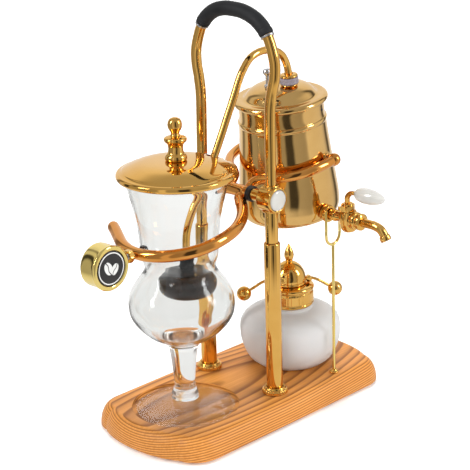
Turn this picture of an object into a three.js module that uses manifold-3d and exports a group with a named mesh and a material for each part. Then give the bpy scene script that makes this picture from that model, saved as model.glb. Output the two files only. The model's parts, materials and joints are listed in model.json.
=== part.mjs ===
// Balance siphon coffee maker: a counterweighted beam carries a metal boiler
// over a spirit lamp, and a bent siphon tube joins the boiler to a glass goblet.
// Units are millimetres, +Z is up. X runs along the wooden base, from the
// goblet at -X to the boiler and lamp at +X. The front, with the tap, is -Y.
// The model is drawn with X = Y = 0 on the cross shaft's middle, then moved so
// that the origin is on the floor, below the middle of the overall box.
import * as THREE from 'three';
import { mergeVertices } from 'three/addons/utils/BufferGeometryUtils.js';
import Module from 'manifold-3d';

const wasm = await Module();
wasm.setup();

// ---------------------------------------------------------------- dimensions
const GAP = 0.3;               // clearance between touching pieces
const BOARD_L = 296;           // base board, length over the bulged ends
const BOARD_W = 146.6;         // base board, width at the bottom
const BOARD_BOTTOM = 2.5;      // underside of the board above the floor
const BOARD_TOP = 24.3;        // top face of the board
const BOARD_SLOPE = 11.5;      // inward run of the sloping side
const XG = -76.3;              // goblet axis
const XL = 71;                 // lamp axis
const COL_Y = 44.8;            // column axes at +-Y
const SHAFT_Z = 219.6;         // cross shaft height
const SHAFT_R = 4;
const COL_LOW_R = 7.8;
const COL_STEP_Z = 177;        // top of the thick lower columns
const COL_UP_R = 6.2;
const TEE_R = 12.3;
const TEE_FACE_Y = 54;         // outer face of each tee
const HANDLE_R = 5.1;
const HANDLE_TOP_Z = 392.3;    // centreline of the handle at its top
const GRIP_R = 6.9;
const PIN_X = 80, PIN_Z = 240.4, PIN_R = 2.5;   // boiler trunnions
const BOIL_X = 68.4;           // boiler axis before it leans
const BOIL_LEAN = -5.65 * Math.PI / 180;        // lean of the hanging boiler
const TAP_Z = 190;             // tap bore height on the boiler
const LIP_R = 45.4;            // boiler lid flange
const RING_R = 53;             // counterweight arm, radius round the goblet
const ARM_R = 5.6;
const WEIGHT_X = -168.5, WEIGHT_Z = 190, WEIGHT_R = 20, WEIGHT_T = 21;
const SLOT_TURN = -12.4 * Math.PI / 180;        // the lid's slot follows the siphon tube
const LAMP_R = 50.2;           // widest radius of the lamp globe
const BOX_MID_X = -21.95, BOX_MID_Y = -27.35;   // middle of the overall box, as drawn

// ------------------------------------------------------------------- helpers
const parts = [];
const V = (x, y, z) => new THREE.Vector3(x, y, z);

function toSolid(geo) {
  const g = geo.clone();
  g.deleteAttribute('normal');
  g.deleteAttribute('uv');
  const m = mergeVertices(g, 1e-4);
  const idx = m.index ? m.index.array : [...Array(m.attributes.position.count).keys()];
  const tri = [];
  for (let i = 0; i < idx.length; i += 3) {
    const [a, b, c] = [idx[i], idx[i + 1], idx[i + 2]];
    if (a !== b && b !== c && a !== c) tri.push(a, b, c);
  }
  const s = new wasm.Manifold(new wasm.Mesh({
    numProp: 3,
    vertProperties: new Float32Array(m.attributes.position.array),
    triVerts: new Uint32Array(tri),
  }));
  return s.volume() < 0 ? new wasm.Manifold(new wasm.Mesh({
    numProp: 3,
    vertProperties: new Float32Array(m.attributes.position.array),
    triVerts: new Uint32Array(tri.map((v, i) => (i % 3 === 0 ? v : i % 3 === 1 ? tri[i + 1] : tri[i - 1]))),
  })) : s;
}

function toGeometry(solid) {
  const mesh = solid.getMesh();
  const n = mesh.numProp, p = new Float32Array(mesh.vertProperties.length / n * 3);
  for (let i = 0; i < p.length / 3; i++) for (let k = 0; k < 3; k++) p[3 * i + k] = mesh.vertProperties[n * i + k];
  const g = new THREE.BufferGeometry();
  g.setAttribute('position', new THREE.BufferAttribute(p, 3));
  g.setIndex(new THREE.BufferAttribute(new Uint32Array(mesh.triVerts), 1));
  return g;
}

// a body of revolution about Z from [radius, height] pairs
const DETAIL = 0.5;            // round pieces use this share of their nominal sides
function lathe(profile, seg = 24) {
  if (seg > 8) seg = Math.max(8, Math.round(seg * DETAIL));
  const pts = profile.map(([r, z]) => new THREE.Vector2(r, z));
  const g = new THREE.LatheGeometry(pts, seg);
  g.rotateX(Math.PI / 2);
  return g;
}
const rod = (r, z0, z1, seg = 16) => lathe([[0, z0], [r, z0], [r, z1], [0, z1]], seg);
const ring = (r0, r1, z0, z1, seg = 24) => lathe([[r0, z0], [r1, z0], [r1, z1], [r0, z1], [r0, z0]], seg);
const at = (g, x = 0, y = 0, z = 0) => g.translate(x, y, z);
const alongY = g => g.rotateX(Math.PI / 2);      // local +Z to -Y
const alongX = g => g.rotateY(Math.PI / 2);      // local +Z to +X

// a tube or solid rod of radius r along a smooth curve through points
function sweep(points, r, steps, seg = 10, rIn = 0, tension = 0.5) {
  const curve = points instanceof THREE.Curve ? points
    : new THREE.CatmullRomCurve3(points.map(p => V(...p)), false, 'catmullrom', tension);
  const s = new THREE.Shape();
  for (let i = 0; i < seg; i++) {
    const a = 2 * Math.PI * (i + 0.5) / seg;
    if (i) s.lineTo(r * Math.cos(a), r * Math.sin(a)); else s.moveTo(r * Math.cos(a), r * Math.sin(a));
  }
  s.closePath();
  if (rIn > 0) {
    const h = new THREE.Path();
    for (let i = 0; i < seg; i++) {
      const a = -2 * Math.PI * (i + 0.5) / seg;
      if (i) h.lineTo(rIn * Math.cos(a), rIn * Math.sin(a)); else h.moveTo(rIn * Math.cos(a), rIn * Math.sin(a));
    }
    h.closePath();
    s.holes.push(h);
  }
  steps = Math.max(1, Math.round(steps * DETAIL));
  return new THREE.ExtrudeGeometry(s, { steps, extrudePath: curve, bevelEnabled: false });
}

const cut = (a, ...bs) => bs.reduce((s, b) => s.subtract(b.isBufferGeometry ? toSolid(b) : b), a.isBufferGeometry ? toSolid(a) : a);
const join = (...gs) => gs.map(g => (g.isBufferGeometry ? toSolid(g) : g)).reduce((a, b) => a.add(b));

const FIN = {
  gold: ['#d9ae4c', 0.12, 1], paleGold: ['#e6cd6a', 0.14, 1], darkGold: ['#b98a3a', 0.16, 1],
  black: ['#151312', 0.45, 0], rubber: ['#1c1e20', 0.7, 0], wood: ['#b35a1d', 0.45, 0],
  porcelain: ['#f1f0ec', 0.15, 0], glass: ['#e6eeea', 0.03, 0], frosted: ['#f2f1ee', 0.5, 0],
  steel: ['#b9bcc0', 0.3, 1], seal: ['#8a7f86', 0.55, 0], filter: ['#2a1a12', 0.35, 0],
  cotton: ['#e9e2d2', 0.95, 0],
};
const root = new THREE.Group();
function add(name, geo, fin, parent = root) {
  const g = geo.isBufferGeometry ? geo : toGeometry(geo);
  const [color, roughness, metalness] = FIN[fin];
  const m = new THREE.Mesh(g, new THREE.MeshStandardMaterial({ color, roughness, metalness }));
  m.name = name;
  parent.add(m);
  parts.push(name);
  return m;
}

// ---------------------------------------------------------------- base board
function boardOutline(halfL, halfW, bulge, corner) {
  // long straight sides, bulged ends and rounded corners
  const s = new THREE.Shape();
  const xs = halfL - bulge;
  s.moveTo(-xs + corner, -halfW);
  s.lineTo(xs - corner, -halfW);
  s.quadraticCurveTo(xs, -halfW, xs + 1.5, -halfW + corner);
  s.bezierCurveTo(halfL + 1, -halfW * 0.42, halfL + 1, halfW * 0.42, xs + 1.5, halfW - corner);
  s.quadraticCurveTo(xs, halfW, xs - corner, halfW);
  s.lineTo(-xs + corner, halfW);
  s.quadraticCurveTo(-xs, halfW, -xs - 1.5, halfW - corner);
  s.bezierCurveTo(-halfL - 1, halfW * 0.42, -halfL - 1, -halfW * 0.42, -xs - 1.5, -halfW + corner);
  s.quadraticCurveTo(-xs, -halfW, -xs + corner, -halfW);
  return s;
}
const GUIDE_X = 72.2, GUIDE_Y = -57;
{
  const h = BOARD_TOP - BOARD_BOTTOM;
  const body = new THREE.ExtrudeGeometry(
    boardOutline(BOARD_L / 2 - BOARD_SLOPE, BOARD_W / 2 - BOARD_SLOPE, 14, 17),
    { depth: 2, bevelEnabled: true, bevelThickness: h, bevelSize: BOARD_SLOPE, bevelSegments: 3, curveSegments: 7 });
  body.translate(0, 0, BOARD_TOP - h - 2);
  const lower = at(new THREE.BoxGeometry(400, 300, 100), 0, 0, BOARD_BOTTOM - 50);
  const bolts = [-1, 1].flatMap(s => [
    at(rod(3.4, BOARD_BOTTOM - 1, BOARD_TOP + 1, 12), 0, s * COL_Y, 0),
    at(rod(8, BOARD_BOTTOM - 1, BOARD_BOTTOM + 6, 16), 0, s * COL_Y, 0),
  ]);
  const recess = at(rod(50.8, BOARD_TOP - 3, BOARD_TOP + 2, 48), XG, 0, 0);
  const rodHole = at(rod(2.2, BOARD_TOP - 9, BOARD_TOP + 2, 10), GUIDE_X, GUIDE_Y, 0);
  add('base_board', cut(body, lower, ...bolts, recess, rodHole), 'wood');
}
[[-112, -48], [112, -48], [-112, 48], [112, 48]].forEach(([x, y], i) =>
  add(`foot_pad_${i + 1}`, at(rod(9, 0, BOARD_BOTTOM - GAP, 16), x, y, 0), 'rubber'));

// ------------------------------------------------------ columns, tees, shaft
const HANDLE_PATH = [
  [0, -44.9, SHAFT_Z + 7], [0, -44.9, 250], [0, -45.6, 300], [0, -48.2, 320], [0, -52.4, 336], [0, -52.2, 352],
  [0, -44.4, 373], [0, -32, 385.2], [0, -17, 391], [0, -2.5, HANDLE_TOP_Z], [0, 12, 391.2], [0, 26, 385.8],
  [0, 38.6, 373.6], [0, 47.2, 352], [0, 48.2, 336], [0, 45.4, 320], [0, 43.8, 300], [0, 44.9, 250], [0, 44.9, SHAFT_Z + 7]];
const handleCurve = new THREE.CatmullRomCurve3(HANDLE_PATH.map(p => V(...p)), false, 'catmullrom', 0.5);
for (const [side, s] of [['front', -1], ['rear', 1]]) {
  const y = s * COL_Y;
  add(`column_foot_${side}`, at(lathe([[8.1, BOARD_TOP + GAP], [12.2, BOARD_TOP + GAP], [12.4, 26.6], [12.1, 28.6],
    [10.6, 29.4], [10.2, 31], [8.1, 31], [8.1, BOARD_TOP + GAP]], 28), 0, y, 0), 'gold');
  const lower = at(lathe([[0, BOARD_TOP + GAP], [COL_LOW_R, BOARD_TOP + GAP], [COL_LOW_R, COL_STEP_Z - 1.2],
    [COL_LOW_R - 0.9, COL_STEP_Z], [0, COL_STEP_Z]], 24), 0, y, 0);
  add(`column_lower_${side}`, cut(lower, at(rod(3.4, 20, 42, 12), 0, y, 0)), 'gold');
  add(`column_bolt_${side}`, at(lathe([[0, BOARD_BOTTOM + 1.5], [6.5, BOARD_BOTTOM + 1.5], [6.5, BOARD_BOTTOM + 5.7],
    [3, BOARD_BOTTOM + 5.7], [3, 40], [0, 40]], 12), 0, y, 0), 'steel');
  const upTop = SHAFT_Z - 8;
  add(`column_upper_${side}`, at(rod(COL_UP_R, COL_STEP_Z + GAP, upTop, 20), 0, y, 0), 'gold');
  // tee: barrel along Y, hollowed for the cap, the shaft, the column and the handle leg
  const barrel = at(alongY(lathe([[0, -31.3], [5.9, -31.3], [5.9, -18], [TEE_R - 1, -18], [TEE_R, -16.6],
    [TEE_R, -1.6], [TEE_R - 1, 0], [0, 0]].map(([r, z]) => [r, z]), 28)), 0, -TEE_FACE_Y, SHAFT_Z);
  if (s > 0) barrel.rotateZ(Math.PI);
  const tee = cut(barrel,
    at(alongY(rod(10.2, 0, 5, 28)), 0, s < 0 ? -TEE_FACE_Y + 2 : TEE_FACE_Y + 3, SHAFT_Z),
    at(alongY(rod(SHAFT_R + GAP, -46, 46, 16)), 0, 0, SHAFT_Z),
    at(rod(COL_UP_R + GAP, SHAFT_Z - 20, upTop + GAP, 20), 0, y, 0),
    at(rod(HANDLE_R + 0.7, SHAFT_Z + 6.7, SHAFT_Z + 30, 16), 0, s * 44.9, 0));
  add(`tee_${side}`, tee, 'gold');
  const cap = alongY(lathe([[0, 0], [9.8, 0], [9.8, 1.6], [8.4, 2.9], [5, 3.5], [0, 3.7]], 28));
  if (s > 0) cap.rotateZ(Math.PI);
  add(`porcelain_cap_${side}`, at(cap, 0, s * (TEE_FACE_Y - 2 + GAP), SHAFT_Z), 'porcelain');
  const c0 = 17.2, c1 = 22.3;
  add(`thrust_collar_${side}`, at(alongY(ring(SHAFT_R + GAP, 7.6, Math.min(-s * c0, -s * c1), Math.max(-s * c0, -s * c1), 24)),
    0, 0, SHAFT_Z), 'black');
}
add('cross_shaft', at(alongY(rod(SHAFT_R, -45.6, 45.6, 16)), 0, 0, SHAFT_Z), 'steel');
add('handle_tube', sweep(handleCurve, HANDLE_R, 72, 10), 'gold');

// the rubber grip and its end rings follow the same curve as the handle
class SubCurve extends THREE.Curve {
  constructor(base, a, b) { super(); this.base = base; this.a = a; this.b = b; }
  getPoint(t, target = V(0, 0, 0)) { return this.base.getPoint(this.a + (this.b - this.a) * t, target); }
}
const uAt = i => i / (HANDLE_PATH.length - 1);
const grip0 = uAt(6.05), grip1 = uAt(11.95);
add('handle_grip', sweep(new SubCurve(handleCurve, grip0, grip1), GRIP_R, 26, 10, HANDLE_R + 0.75), 'rubber');
add('grip_ring_front', sweep(new SubCurve(handleCurve, grip0 - 0.0062, grip0 - 0.0012), 6.6, 1, 12, HANDLE_R + 0.6), 'steel');
add('grip_ring_rear', sweep(new SubCurve(handleCurve, grip1 + 0.0012, grip1 + 0.0062), 6.6, 1, 12, HANDLE_R + 0.6), 'steel');

// --------------------------------------------------- tap guide on the board
{
  const yy = GUIDE_Y, hw = 9.6, zc = 168, r = 1.4;
  const u = [];
  u.push([GUIDE_X - hw, yy, 194], [GUIDE_X - hw, yy, 184], [GUIDE_X - hw, yy, 174]);
  for (let i = 0; i <= 6; i++) {
    const a = Math.PI + Math.PI * i / 6;
    u.push([GUIDE_X + hw * Math.cos(a), yy, zc + hw * Math.sin(a)]);
  }
  u.push([GUIDE_X + hw, yy, 174], [GUIDE_X + hw, yy, 184], [GUIDE_X + hw, yy, 194]);
  add('tap_guide', join(sweep(u, r, 30, 8), at(rod(1.5, BOARD_TOP - 8, zc - hw, 8), GUIDE_X, yy, 0)), 'paleGold');
  add('tap_guide_foot', at(ring(1.8, 4.6, BOARD_TOP + GAP, BOARD_TOP + 3.5, 16), GUIDE_X, yy, 0), 'gold');
}

// ------------------------------------------------------------ balance beam
const sleeveCutter = () => at(alongY(rod(7.4, -17.1, 17.1, 24)), 0, 0, SHAFT_Z);
add('beam_sleeve', at(alongY(ring(SHAFT_R + GAP, 6.8, -16.9, 16.9, 24)), 0, 0, SHAFT_Z), 'gold');
for (const [side, s] of [['front', -1], ['rear', 1]]) {
  const path = [[3.5, 12.0, 221.5], [11.5, 14, 227.8], [19, 22.5, 230.3], [26, 34, 231.6], [38, 44.8, 233.9],
    [52, 50.6, 236.3], [66, 52.6, 238.5], [PIN_X, 52.4, PIN_Z]].map(([x, y, z]) => [x, s * y, z]);
  const arm = join(sweep(path, 4.7, 26, 10, 3.3), at(new THREE.SphereGeometry(6.2, 12, 8), PIN_X, s * 52.4, PIN_Z));
  const bore = at(alongY(rod(PIN_R + GAP, -54.7, 54.7, 12)), PIN_X, 0, PIN_Z);
  add(`fork_arm_${side}`, cut(arm, sleeveCutter(), bore), 'gold');
  add(`pivot_pin_${side}`, at(alongY(lathe(s < 0
    ? [[0, 40.4], [PIN_R, 40.4], [PIN_R, 54.4], [0, 54.4]]
    : [[0, -54.4], [PIN_R, -54.4], [PIN_R, -40.4], [0, -40.4]], 14)), PIN_X, 0, PIN_Z), 'steel');
}
{
  const p = [[-3.4, -9, 215.6], [-8.5, -13.2, 213.4], [-16, -22.5, 210.6], [-27, -33.5, 208.4], [-40, -43.2, 206.6],
    [-53, -49.6, 204.6], [-67.5, -52.6, 202.2], [-84.6, -52.3, 199.2], [-100, -47.6, 196.4], [-113.2, -38, 194.0],
    [-123.2, -24.6, 192.2], [-128.6, -8.6, 191.1], [-128.7, 8.6, 191.1], [-123.4, 25, 192], [-115.4, 39.2, 193.4],
    [-108.6, 50.5, 194.8], [-103.2, 60, 196]];
  const arm = join(sweep(p, ARM_R, 50, 9), at(new THREE.SphereGeometry(ARM_R, 10, 6), -103.2, 60, 196),
    at(new THREE.SphereGeometry(ARM_R + 0.6, 10, 6), -5.6, -10.6, 214.6));
  const studBore = at(alongX(rod(3.3, -150, -110, 12)), 0, 0, WEIGHT_Z + 1);
  const collarClear = at(alongY(rod(8.2, -23, 23, 20)), 0, 0, SHAFT_Z);
  add('counterweight_arm', cut(arm, sleeveCutter(), cut(collarClear, at(alongY(rod(12, -16.6, 16.6, 12)), 0, 0, SHAFT_Z)), studBore), 'gold');
  add('counterweight_stud', at(alongX(rod(3, -160, -117.2, 12)), 0, 0, WEIGHT_Z + 1), 'steel');
  add('stud_inner_nut', at(alongX(ring(3.6, 5.4, -122.3, -118.8, 6)), 0, 0, WEIGHT_Z + 1), 'black');
  add('stud_lock_nut', at(alongX(ring(3.6, 6.4, -141.2, -136.6, 6)), 0, 0, WEIGHT_Z + 1), 'gold');
  const h = WEIGHT_T / 2;
  const w = at(alongY(lathe([[0, -h], [WEIGHT_R - 2, -h], [WEIGHT_R, -h + 2], [WEIGHT_R, h - 3], [WEIGHT_R + 0.8, h - 2.4],
    [WEIGHT_R + 0.8, h - 1], [WEIGHT_R - 0.6, h], [0, h]], 40)), WEIGHT_X, 0, WEIGHT_Z);
  add('counterweight', cut(w,
    at(alongY(rod(16.3, h - 2, h + 2, 36)), WEIGHT_X, 0, WEIGHT_Z),
    at(alongX(rod(3.4, -163.5, -140, 12)), 0, 0, WEIGHT_Z + 1)), 'paleGold');
  add('badge_disc', at(alongY(rod(15.9, h - 2 + GAP, h - 0.4, 36)), WEIGHT_X, 0, WEIGHT_Z), 'black');
}

// ------------------------------------------------------ boiler and its tap
// Everything here hangs on the trunnions and leans with the boiler.
const boiler = new THREE.Group();
boiler.position.set(PIN_X, 0, PIN_Z);
boiler.rotation.y = BOIL_LEAN;
root.add(boiler);
const hang = g => (g.isBufferGeometry ? g.translate(-PIN_X, 0, -PIN_Z) : g);
{
  const X = BOIL_X, T = 0.8, TX = BOIL_X - 2.4;   // TX: the tap sits a little off the axis
  const outer = [[0, 179], [39.5, 179], [44.6, 180.6], [47.6, 184.6], [48.9, 191], [48.6, 204], [46.3, 226], [44.0, 249],
    [42.0, 275], [42.6, 276], [42.6, 278.2], [41.4, 279.2], [40.9, 294]];
  const inner = [[40.9 - T, 294], [41.4 - T, 279], [42.0 - T - 0.6, 275], [44.0 - T, 249], [46.3 - T, 226], [48.6 - T, 204],
    [48.9 - T, 191], [47.6 - T - 0.2, 185.3], [44.4 - T, 181.6], [39, 180], [0, 180]];
  const shell = at(lathe([...outer, ...inner], 48), X, 0, 0);
  const bosses = [-1, 1].map(s => at(alongY(rod(5.2, s < 0 ? 40.8 : -45.6, s < 0 ? 45.6 : -40.8, 16)), PIN_X, 0, PIN_Z));
  const tapBoss = at(alongY(rod(7, 45.5, 49.6, 18)), TX, 0, TAP_Z);
  const clean = at(lathe([[0, 180.4], ...inner.slice().reverse().slice(1), [0, 294]], 48), X, 0, 0);
  const solid = cut(join(shell, ...bosses, tapBoss),
    at(alongY(rod(PIN_R + GAP, -70, 70, 14)), PIN_X, 0, PIN_Z),
    at(alongY(rod(3.4, 30, 60, 14)), TX, 0, TAP_Z));
  const g = toGeometry(solid);
  add('boiler_shell', hang(g), 'darkGold', boiler);

  const NX = X + 1.2, NY = -12.2;   // the filler neck stands off the axis, toward the front
  const lid = at(lathe([[0, 310.9], [16.8, 310.4], [24.3, 308.6], [29.4, 305.5], [32.8, 301.5], [34.8, 299.6], [38.6, 299.3], [40.9, 297.6], [41.6, 294.4],
    [43.4, 294.4], [45.1, 295.4], [LIP_R, 297.4], [44.6, 299.4], [42, 300.4],
    [35.5, 300.6], [33.6, 302.2], [30.2, 306.4], [24.8, 309.6], [17, 311.4], [0, 311.9]], 48), X, 0, 0);
  const neckBore = at(rod(6.1, 290, 320, 18), NX, NY, 0);
  add('boiler_lid', hang(toGeometry(cut(lid, neckBore))), 'darkGold', boiler);
  add('filler_neck', hang(at(lathe([[4.1, 298], [5.6, 298], [5.6, 312.2], [8.4, 312.2], [8.4, 313.4], [4.1, 313.4], [4.1, 298]], 20), NX, NY, 0)), 'gold', boiler);
  add('stopper_seal', hang(at(ring(4.1, 9, 313.7, 320, 24), NX, NY, 0)), 'seal', boiler);
  add('stopper_nut', hang(at(lathe([[4.1, 320.3], [8.5, 320.3], [8.8, 321.2], [8.2, 322.4], [6, 323.2], [4.1, 323.2], [4.1, 320.3]], 24), NX, NY, 0)), 'gold', boiler);
  // safety valve on the other side of the dome
  const VX = X - 15;
  add('safety_valve', hang(at(lathe([[0, 312], [3.6, 312], [3.6, 315], [2, 315.4], [2, 325], [3.8, 326], [4.2, 328], [3.4, 330], [0, 330.8]], 16), VX, 0, 0)), 'steel', boiler);

  // tap, pointing to the front
  add('tap_flange_nut', hang(at(alongY(ring(5.6, 8.3, 50, 55, 8)), TX, 0, TAP_Z)), 'gold', boiler);
  const pipe = at(alongY(rod(4.8, 50, 74, 18)), TX, 0, TAP_Z);
  const yb = -78;
  const body = at(lathe([[0, 177.6], [5.2, 177.6], [7.6, 179.6], [8.8, 184], [9.2, 190], [8.4, 196.6], [7.4, 198.6], [0, 198.6]], 24), TX, yb, 0);
  const collarA = at(alongY(lathe([[0, 80], [7.2, 80], [8.4, 84], [8.4, 88.5], [7, 89.5], [7, 91], [8.2, 92], [8.2, 95], [5, 96], [0, 96]], 22)), TX, 0, TAP_Z);
  const spout = sweep([[TX, -94, TAP_Z], [TX, -102, TAP_Z], [TX, -110, TAP_Z - 0.2], [TX, -117, TAP_Z - 2.4], [TX, -121.6, TAP_Z - 8]], 4.3, 14, 12);
  const tip = at(lathe([[0, -3.4], [5.2, -3.4], [5.4, 0], [4.6, 2.4], [0, 2.4]], 16).rotateX(-0.5), TX, -121.8, TAP_Z - 9.4);
  add('tap_body', hang(toGeometry(cut(join(pipe, body, collarA, spout, tip), at(rod(4.4, 180, 205, 16), TX, yb, 0), at(alongY(rod(3, 40, 92, 12)), TX, 0, TAP_Z)))), 'gold', boiler);
  add('tap_bonnet_nut', hang(at(lathe([[2.6, 198.9], [7.3, 198.9], [7.3, 204.4], [6.4, 206.2], [2.6, 206.2], [2.6, 198.9]], 6), TX, yb, 0)), 'gold', boiler);

  // siphon tube: from the stopper over the beam and down into the goblet
  const inv = new THREE.Matrix4().makeRotationY(BOIL_LEAN).invert();
  const toLocal = ([x, y, z]) => V(x - PIN_X, y, z - PIN_Z).applyMatrix4(inv).add(V(PIN_X, 0, PIN_Z)).toArray();
  const world = [[58.6, -11.7, 333.2], [52, -11.6, 342.2], [40.4, -11.4, 348.2], [27.8, -11.2, 349.6], [16.7, -11, 347.8], [9.2, -10.8, 343.8],
    [2.3, -10.6, 336.4], [-3.2, -10.4, 328], [-11.3, -10, 311.1], [-20.4, -9.6, 293.4], [-29.1, -9.2, 276.1], [-37.6, -8.8, 260.4], [-47.4, -7.6, 243.5],
    [-55.2, -5.8, 228.6], [-62.6, -3.6, 213], [-66.5, -1.6, 200.4], [-67.8, -0.4, 188.2], [-67.9, 0, 172.5]].map(toLocal);
  const tubePts = [[NX, NY, 300], [NX, NY, 312], [NX, NY, 324], ...world];
  add('siphon_tube', hang(sweep(tubePts, 3.6, 76, 7, 2.75)), 'gold', boiler);
  const [fx, , fz] = toLocal([-67.9, 0, 165]);
  add('filter_neck', hang(at(lathe([[0, -5], [6.6, -5], [7.4, -3], [6.4, 1.5], [7.2, 5.2], [4.0, 6.2], [4.0, -1], [0, -1]], 18).rotateY(-BOIL_LEAN), fx, 0, fz)), 'rubber', boiler);
  const [gx, , gz] = toLocal([-67.9, 0, 147.5]);
  add('filter_body', hang(at(lathe([[0, 0], [18, -2], [20.5, -9], [21.5, -12], [23, -11.6], [25.8, -8.6], [27.4, -3.2], [27.4, 1.4], [25, 5.6], [19, 8.4], [9, 10.6], [6, 11.8], [0, 11.8]], 32).rotateY(-BOIL_LEAN), gx, 0, gz)), 'filter', boiler);

  // tap plug with its curved lever, and the porcelain handle
  const lever = sweep([[TX, yb, 200], [TX, yb, 207], [TX, yb - 0.6, 212.5], [TX, yb - 4.5, 216.8], [TX, yb - 10, 218.2]], 2.1, 14, 10);
  const plug = at(lathe([[0, 181], [4.1, 181], [4.1, 197.6], [2.1, 197.9], [2.1, 204], [0, 204]], 14), TX, yb, 0);
  add('tap_plug', hang(toGeometry(join(lever, plug))), 'gold', boiler);
  const grip = lathe([[0, 0], [2.6, 0], [5.6, 3.4], [7.3, 9], [7.5, 15], [6.6, 23], [4.6, 30], [2.2, 33.6], [0, 34.4]], 20);
  add('tap_handle', hang(at(alongY(grip), TX, yb - 11.2, 218.4)), 'porcelain', boiler);
}

// ------------------------------------------------------------ glass goblet
{
  const z0 = BOARD_TOP - 3 + GAP;
  const out = [[0, z0], [45.4, z0], [46.8, z0 + 1.2], [46.2, z0 + 2.8], [20, z0 + 8.6], [12.2, z0 + 11.4], [12.6, 36.4],
    [9.9, 45], [12.0, 72], [14.4, 86], [20.5, 91.8], [31, 97.4], [42.5, 108.6], [49.6, 126], [47.6, 140.5],
    [34.4, 160.4], [32.4, 164.6], [36.3, 175], [36.8, 194], [41.6, 224], [48.6, 249.6]];
  const inn = [[46.6, 249.6], [39.5, 224.4], [34.6, 194], [34.2, 175.6], [30.2, 164.6], [32.6, 158.8],
    [45.5, 139.8], [47.5, 126.4], [40.6, 110.4], [30, 100], [19.4, 95], [0, 92.6]];
  add('glass_goblet', at(lathe([...out, ...inn], 48), XG, 0, 0), 'glass');
}
// lid over the goblet, with a notch for the siphon tube
{
  const lid = at(lathe([[0, 262.4], [24, 262], [37, 258.8], [46.4, 253.6], [48, 250.0], [53.4, 250.2], [55.4, 251.8], [55.7, 254.4], [54.2, 256.6], [49.6, 258.6], [39, 263],
    [26, 265.6], [0, 266.2]], 56), XG, 0, 0);
  const notch = at(at(new THREE.BoxGeometry(42, 11, 40), 37.5 + 21, 0, 260).rotateZ(SLOT_TURN), XG, 0, 0);
  const notchEnd = at(at(rod(5.5, 240, 280, 16), 37.5, 0, 0).rotateZ(SLOT_TURN), XG, 0, 0);
  add('goblet_lid', cut(lid, join(notch, notchEnd)), 'gold');
  add('lid_finial', at(lathe([[0, 266.5], [9.6, 266.5], [10.2, 268.6], [9.8, 271.2], [7.4, 274], [6.9, 277.6], [7.2, 280.8], [9.6, 283.6], [10.6, 286], [9.4, 287.8], [5.4, 289],
    [3.9, 291.2], [4.3, 293.4], [6.2, 296.4], [6.6, 299.5], [5.8, 302.8], [3.4, 305.4], [0, 306.2]], 24), XG, 0, 0), 'gold');
}

// ------------------------------------------------------------- spirit lamp
{
  const z0 = BOARD_TOP + GAP;
  const out = [[0, z0], [33.5, z0], [37, z0 + 1.6], [44, 34.4], [49, 47], [LAMP_R, 60.5], [48.2, 69], [42, 75.6], [33, 79.2], [22.6, 80.6], [22.6, 84]];
  const inn = [[20.6, 84], [20.6, 79], [32.6, 77], [41, 73.4], [46.2, 67.6], [48, 60.5], [46.9, 48], [42.2, 36], [36, z0 + 4], [0, z0 + 3.6]];
  add('lamp_font', at(lathe([...out, ...inn], 48), XL, 0, 0), 'frosted');
  add('lamp_collar', at(lathe([[3.4, 84.4], [20, 84.4], [20, 82.6], [20.2, 82.6], [20.2, 84.4], [23.4, 84.4], [23.9, 86], [23.9, 98.6], [23.4, 100.2], [24.4, 101], [24.4, 103.2],
    [21.5, 104.6], [17.6, 105], [8, 105], [3.4, 105], [3.4, 84.4]].filter(([r], i) => !(i === 2 || i === 3)), 40), XL, 0, 0), 'gold');
  add('wick_tube', at(ring(2.2, 3.1, 78, 112, 14), XL, 0, 0), 'steel');
  add('wick', at(lathe([[0, 34], [1.9, 34], [1.9, 116], [1.4, 118.4], [0, 119]], 10), XL, 0, 0), 'cotton');

  // two half domes over the wick, each with a ball lever
  const DIR = -40 * Math.PI / 180;
  const dome = () => lathe([[13.2, 105.4], [16.2, 105.4], [16.6, 109.6], [15.7, 115.4], [13.2, 120.6], [9.4, 124.8], [5, 127.4], [0, 128.4],
    [0, 125.4], [4.4, 124.6], [7.8, 122.4], [11.2, 118.8], [13.1, 114.6], [13.6, 110], [13.2, 105.4]], 32);
  const finial = () => lathe([[0, 127.2], [3.4, 127.8], [4.3, 130.6], [4.9, 134.4], [4.0, 138.6], [2.2, 142.4], [0.9, 145.4], [0, 146.2]], 16);
  for (const [side, s] of [['front', 1], ['rear', -1]]) {
    const half = at(new THREE.BoxGeometry(60, 80, 80), s * (30 + GAP / 2), 0, 130);
    const capHalf = toSolid(dome()).intersect(toSolid(half));
    const bits = [capHalf];
    const fin = toSolid(finial());
    bits.push(s > 0 ? fin : null);
    const lug = at(alongY(rod(3, -3, 3, 14)), s * 19.3, 0, 108.6);
    const lever = sweep([[s * 16.2, 0, 108.8], [s * 21, 0, 109.2], [s * 28, 0, 106.8], [s * 36, 0, 101.8], [s * 43, 0, 97.6]], 1.5, 12, 8);
    const ball = at(new THREE.SphereGeometry(7.3, 12, 7), s * 45.6, 0, 96.4);
    let body = join(...bits.filter(Boolean), lug, lever, ball);
    if (s < 0) body = cut(body, at(rod(5.6, 124.9, 150, 18), 0, 0, 0));
    const g = toGeometry(body);
    g.rotateZ(DIR);
    add(`snuffer_${side}`, at(g, XL, 0, 0), 'gold');
  }
}

root.position.set(-BOX_MID_X, -BOX_MID_Y, 0);

export default root;
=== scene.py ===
import json
import math

import bmesh
import bpy
import numpy as np
from mathutils import Matrix, Vector
from mathutils.geometry import tessellate_polygon


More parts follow.
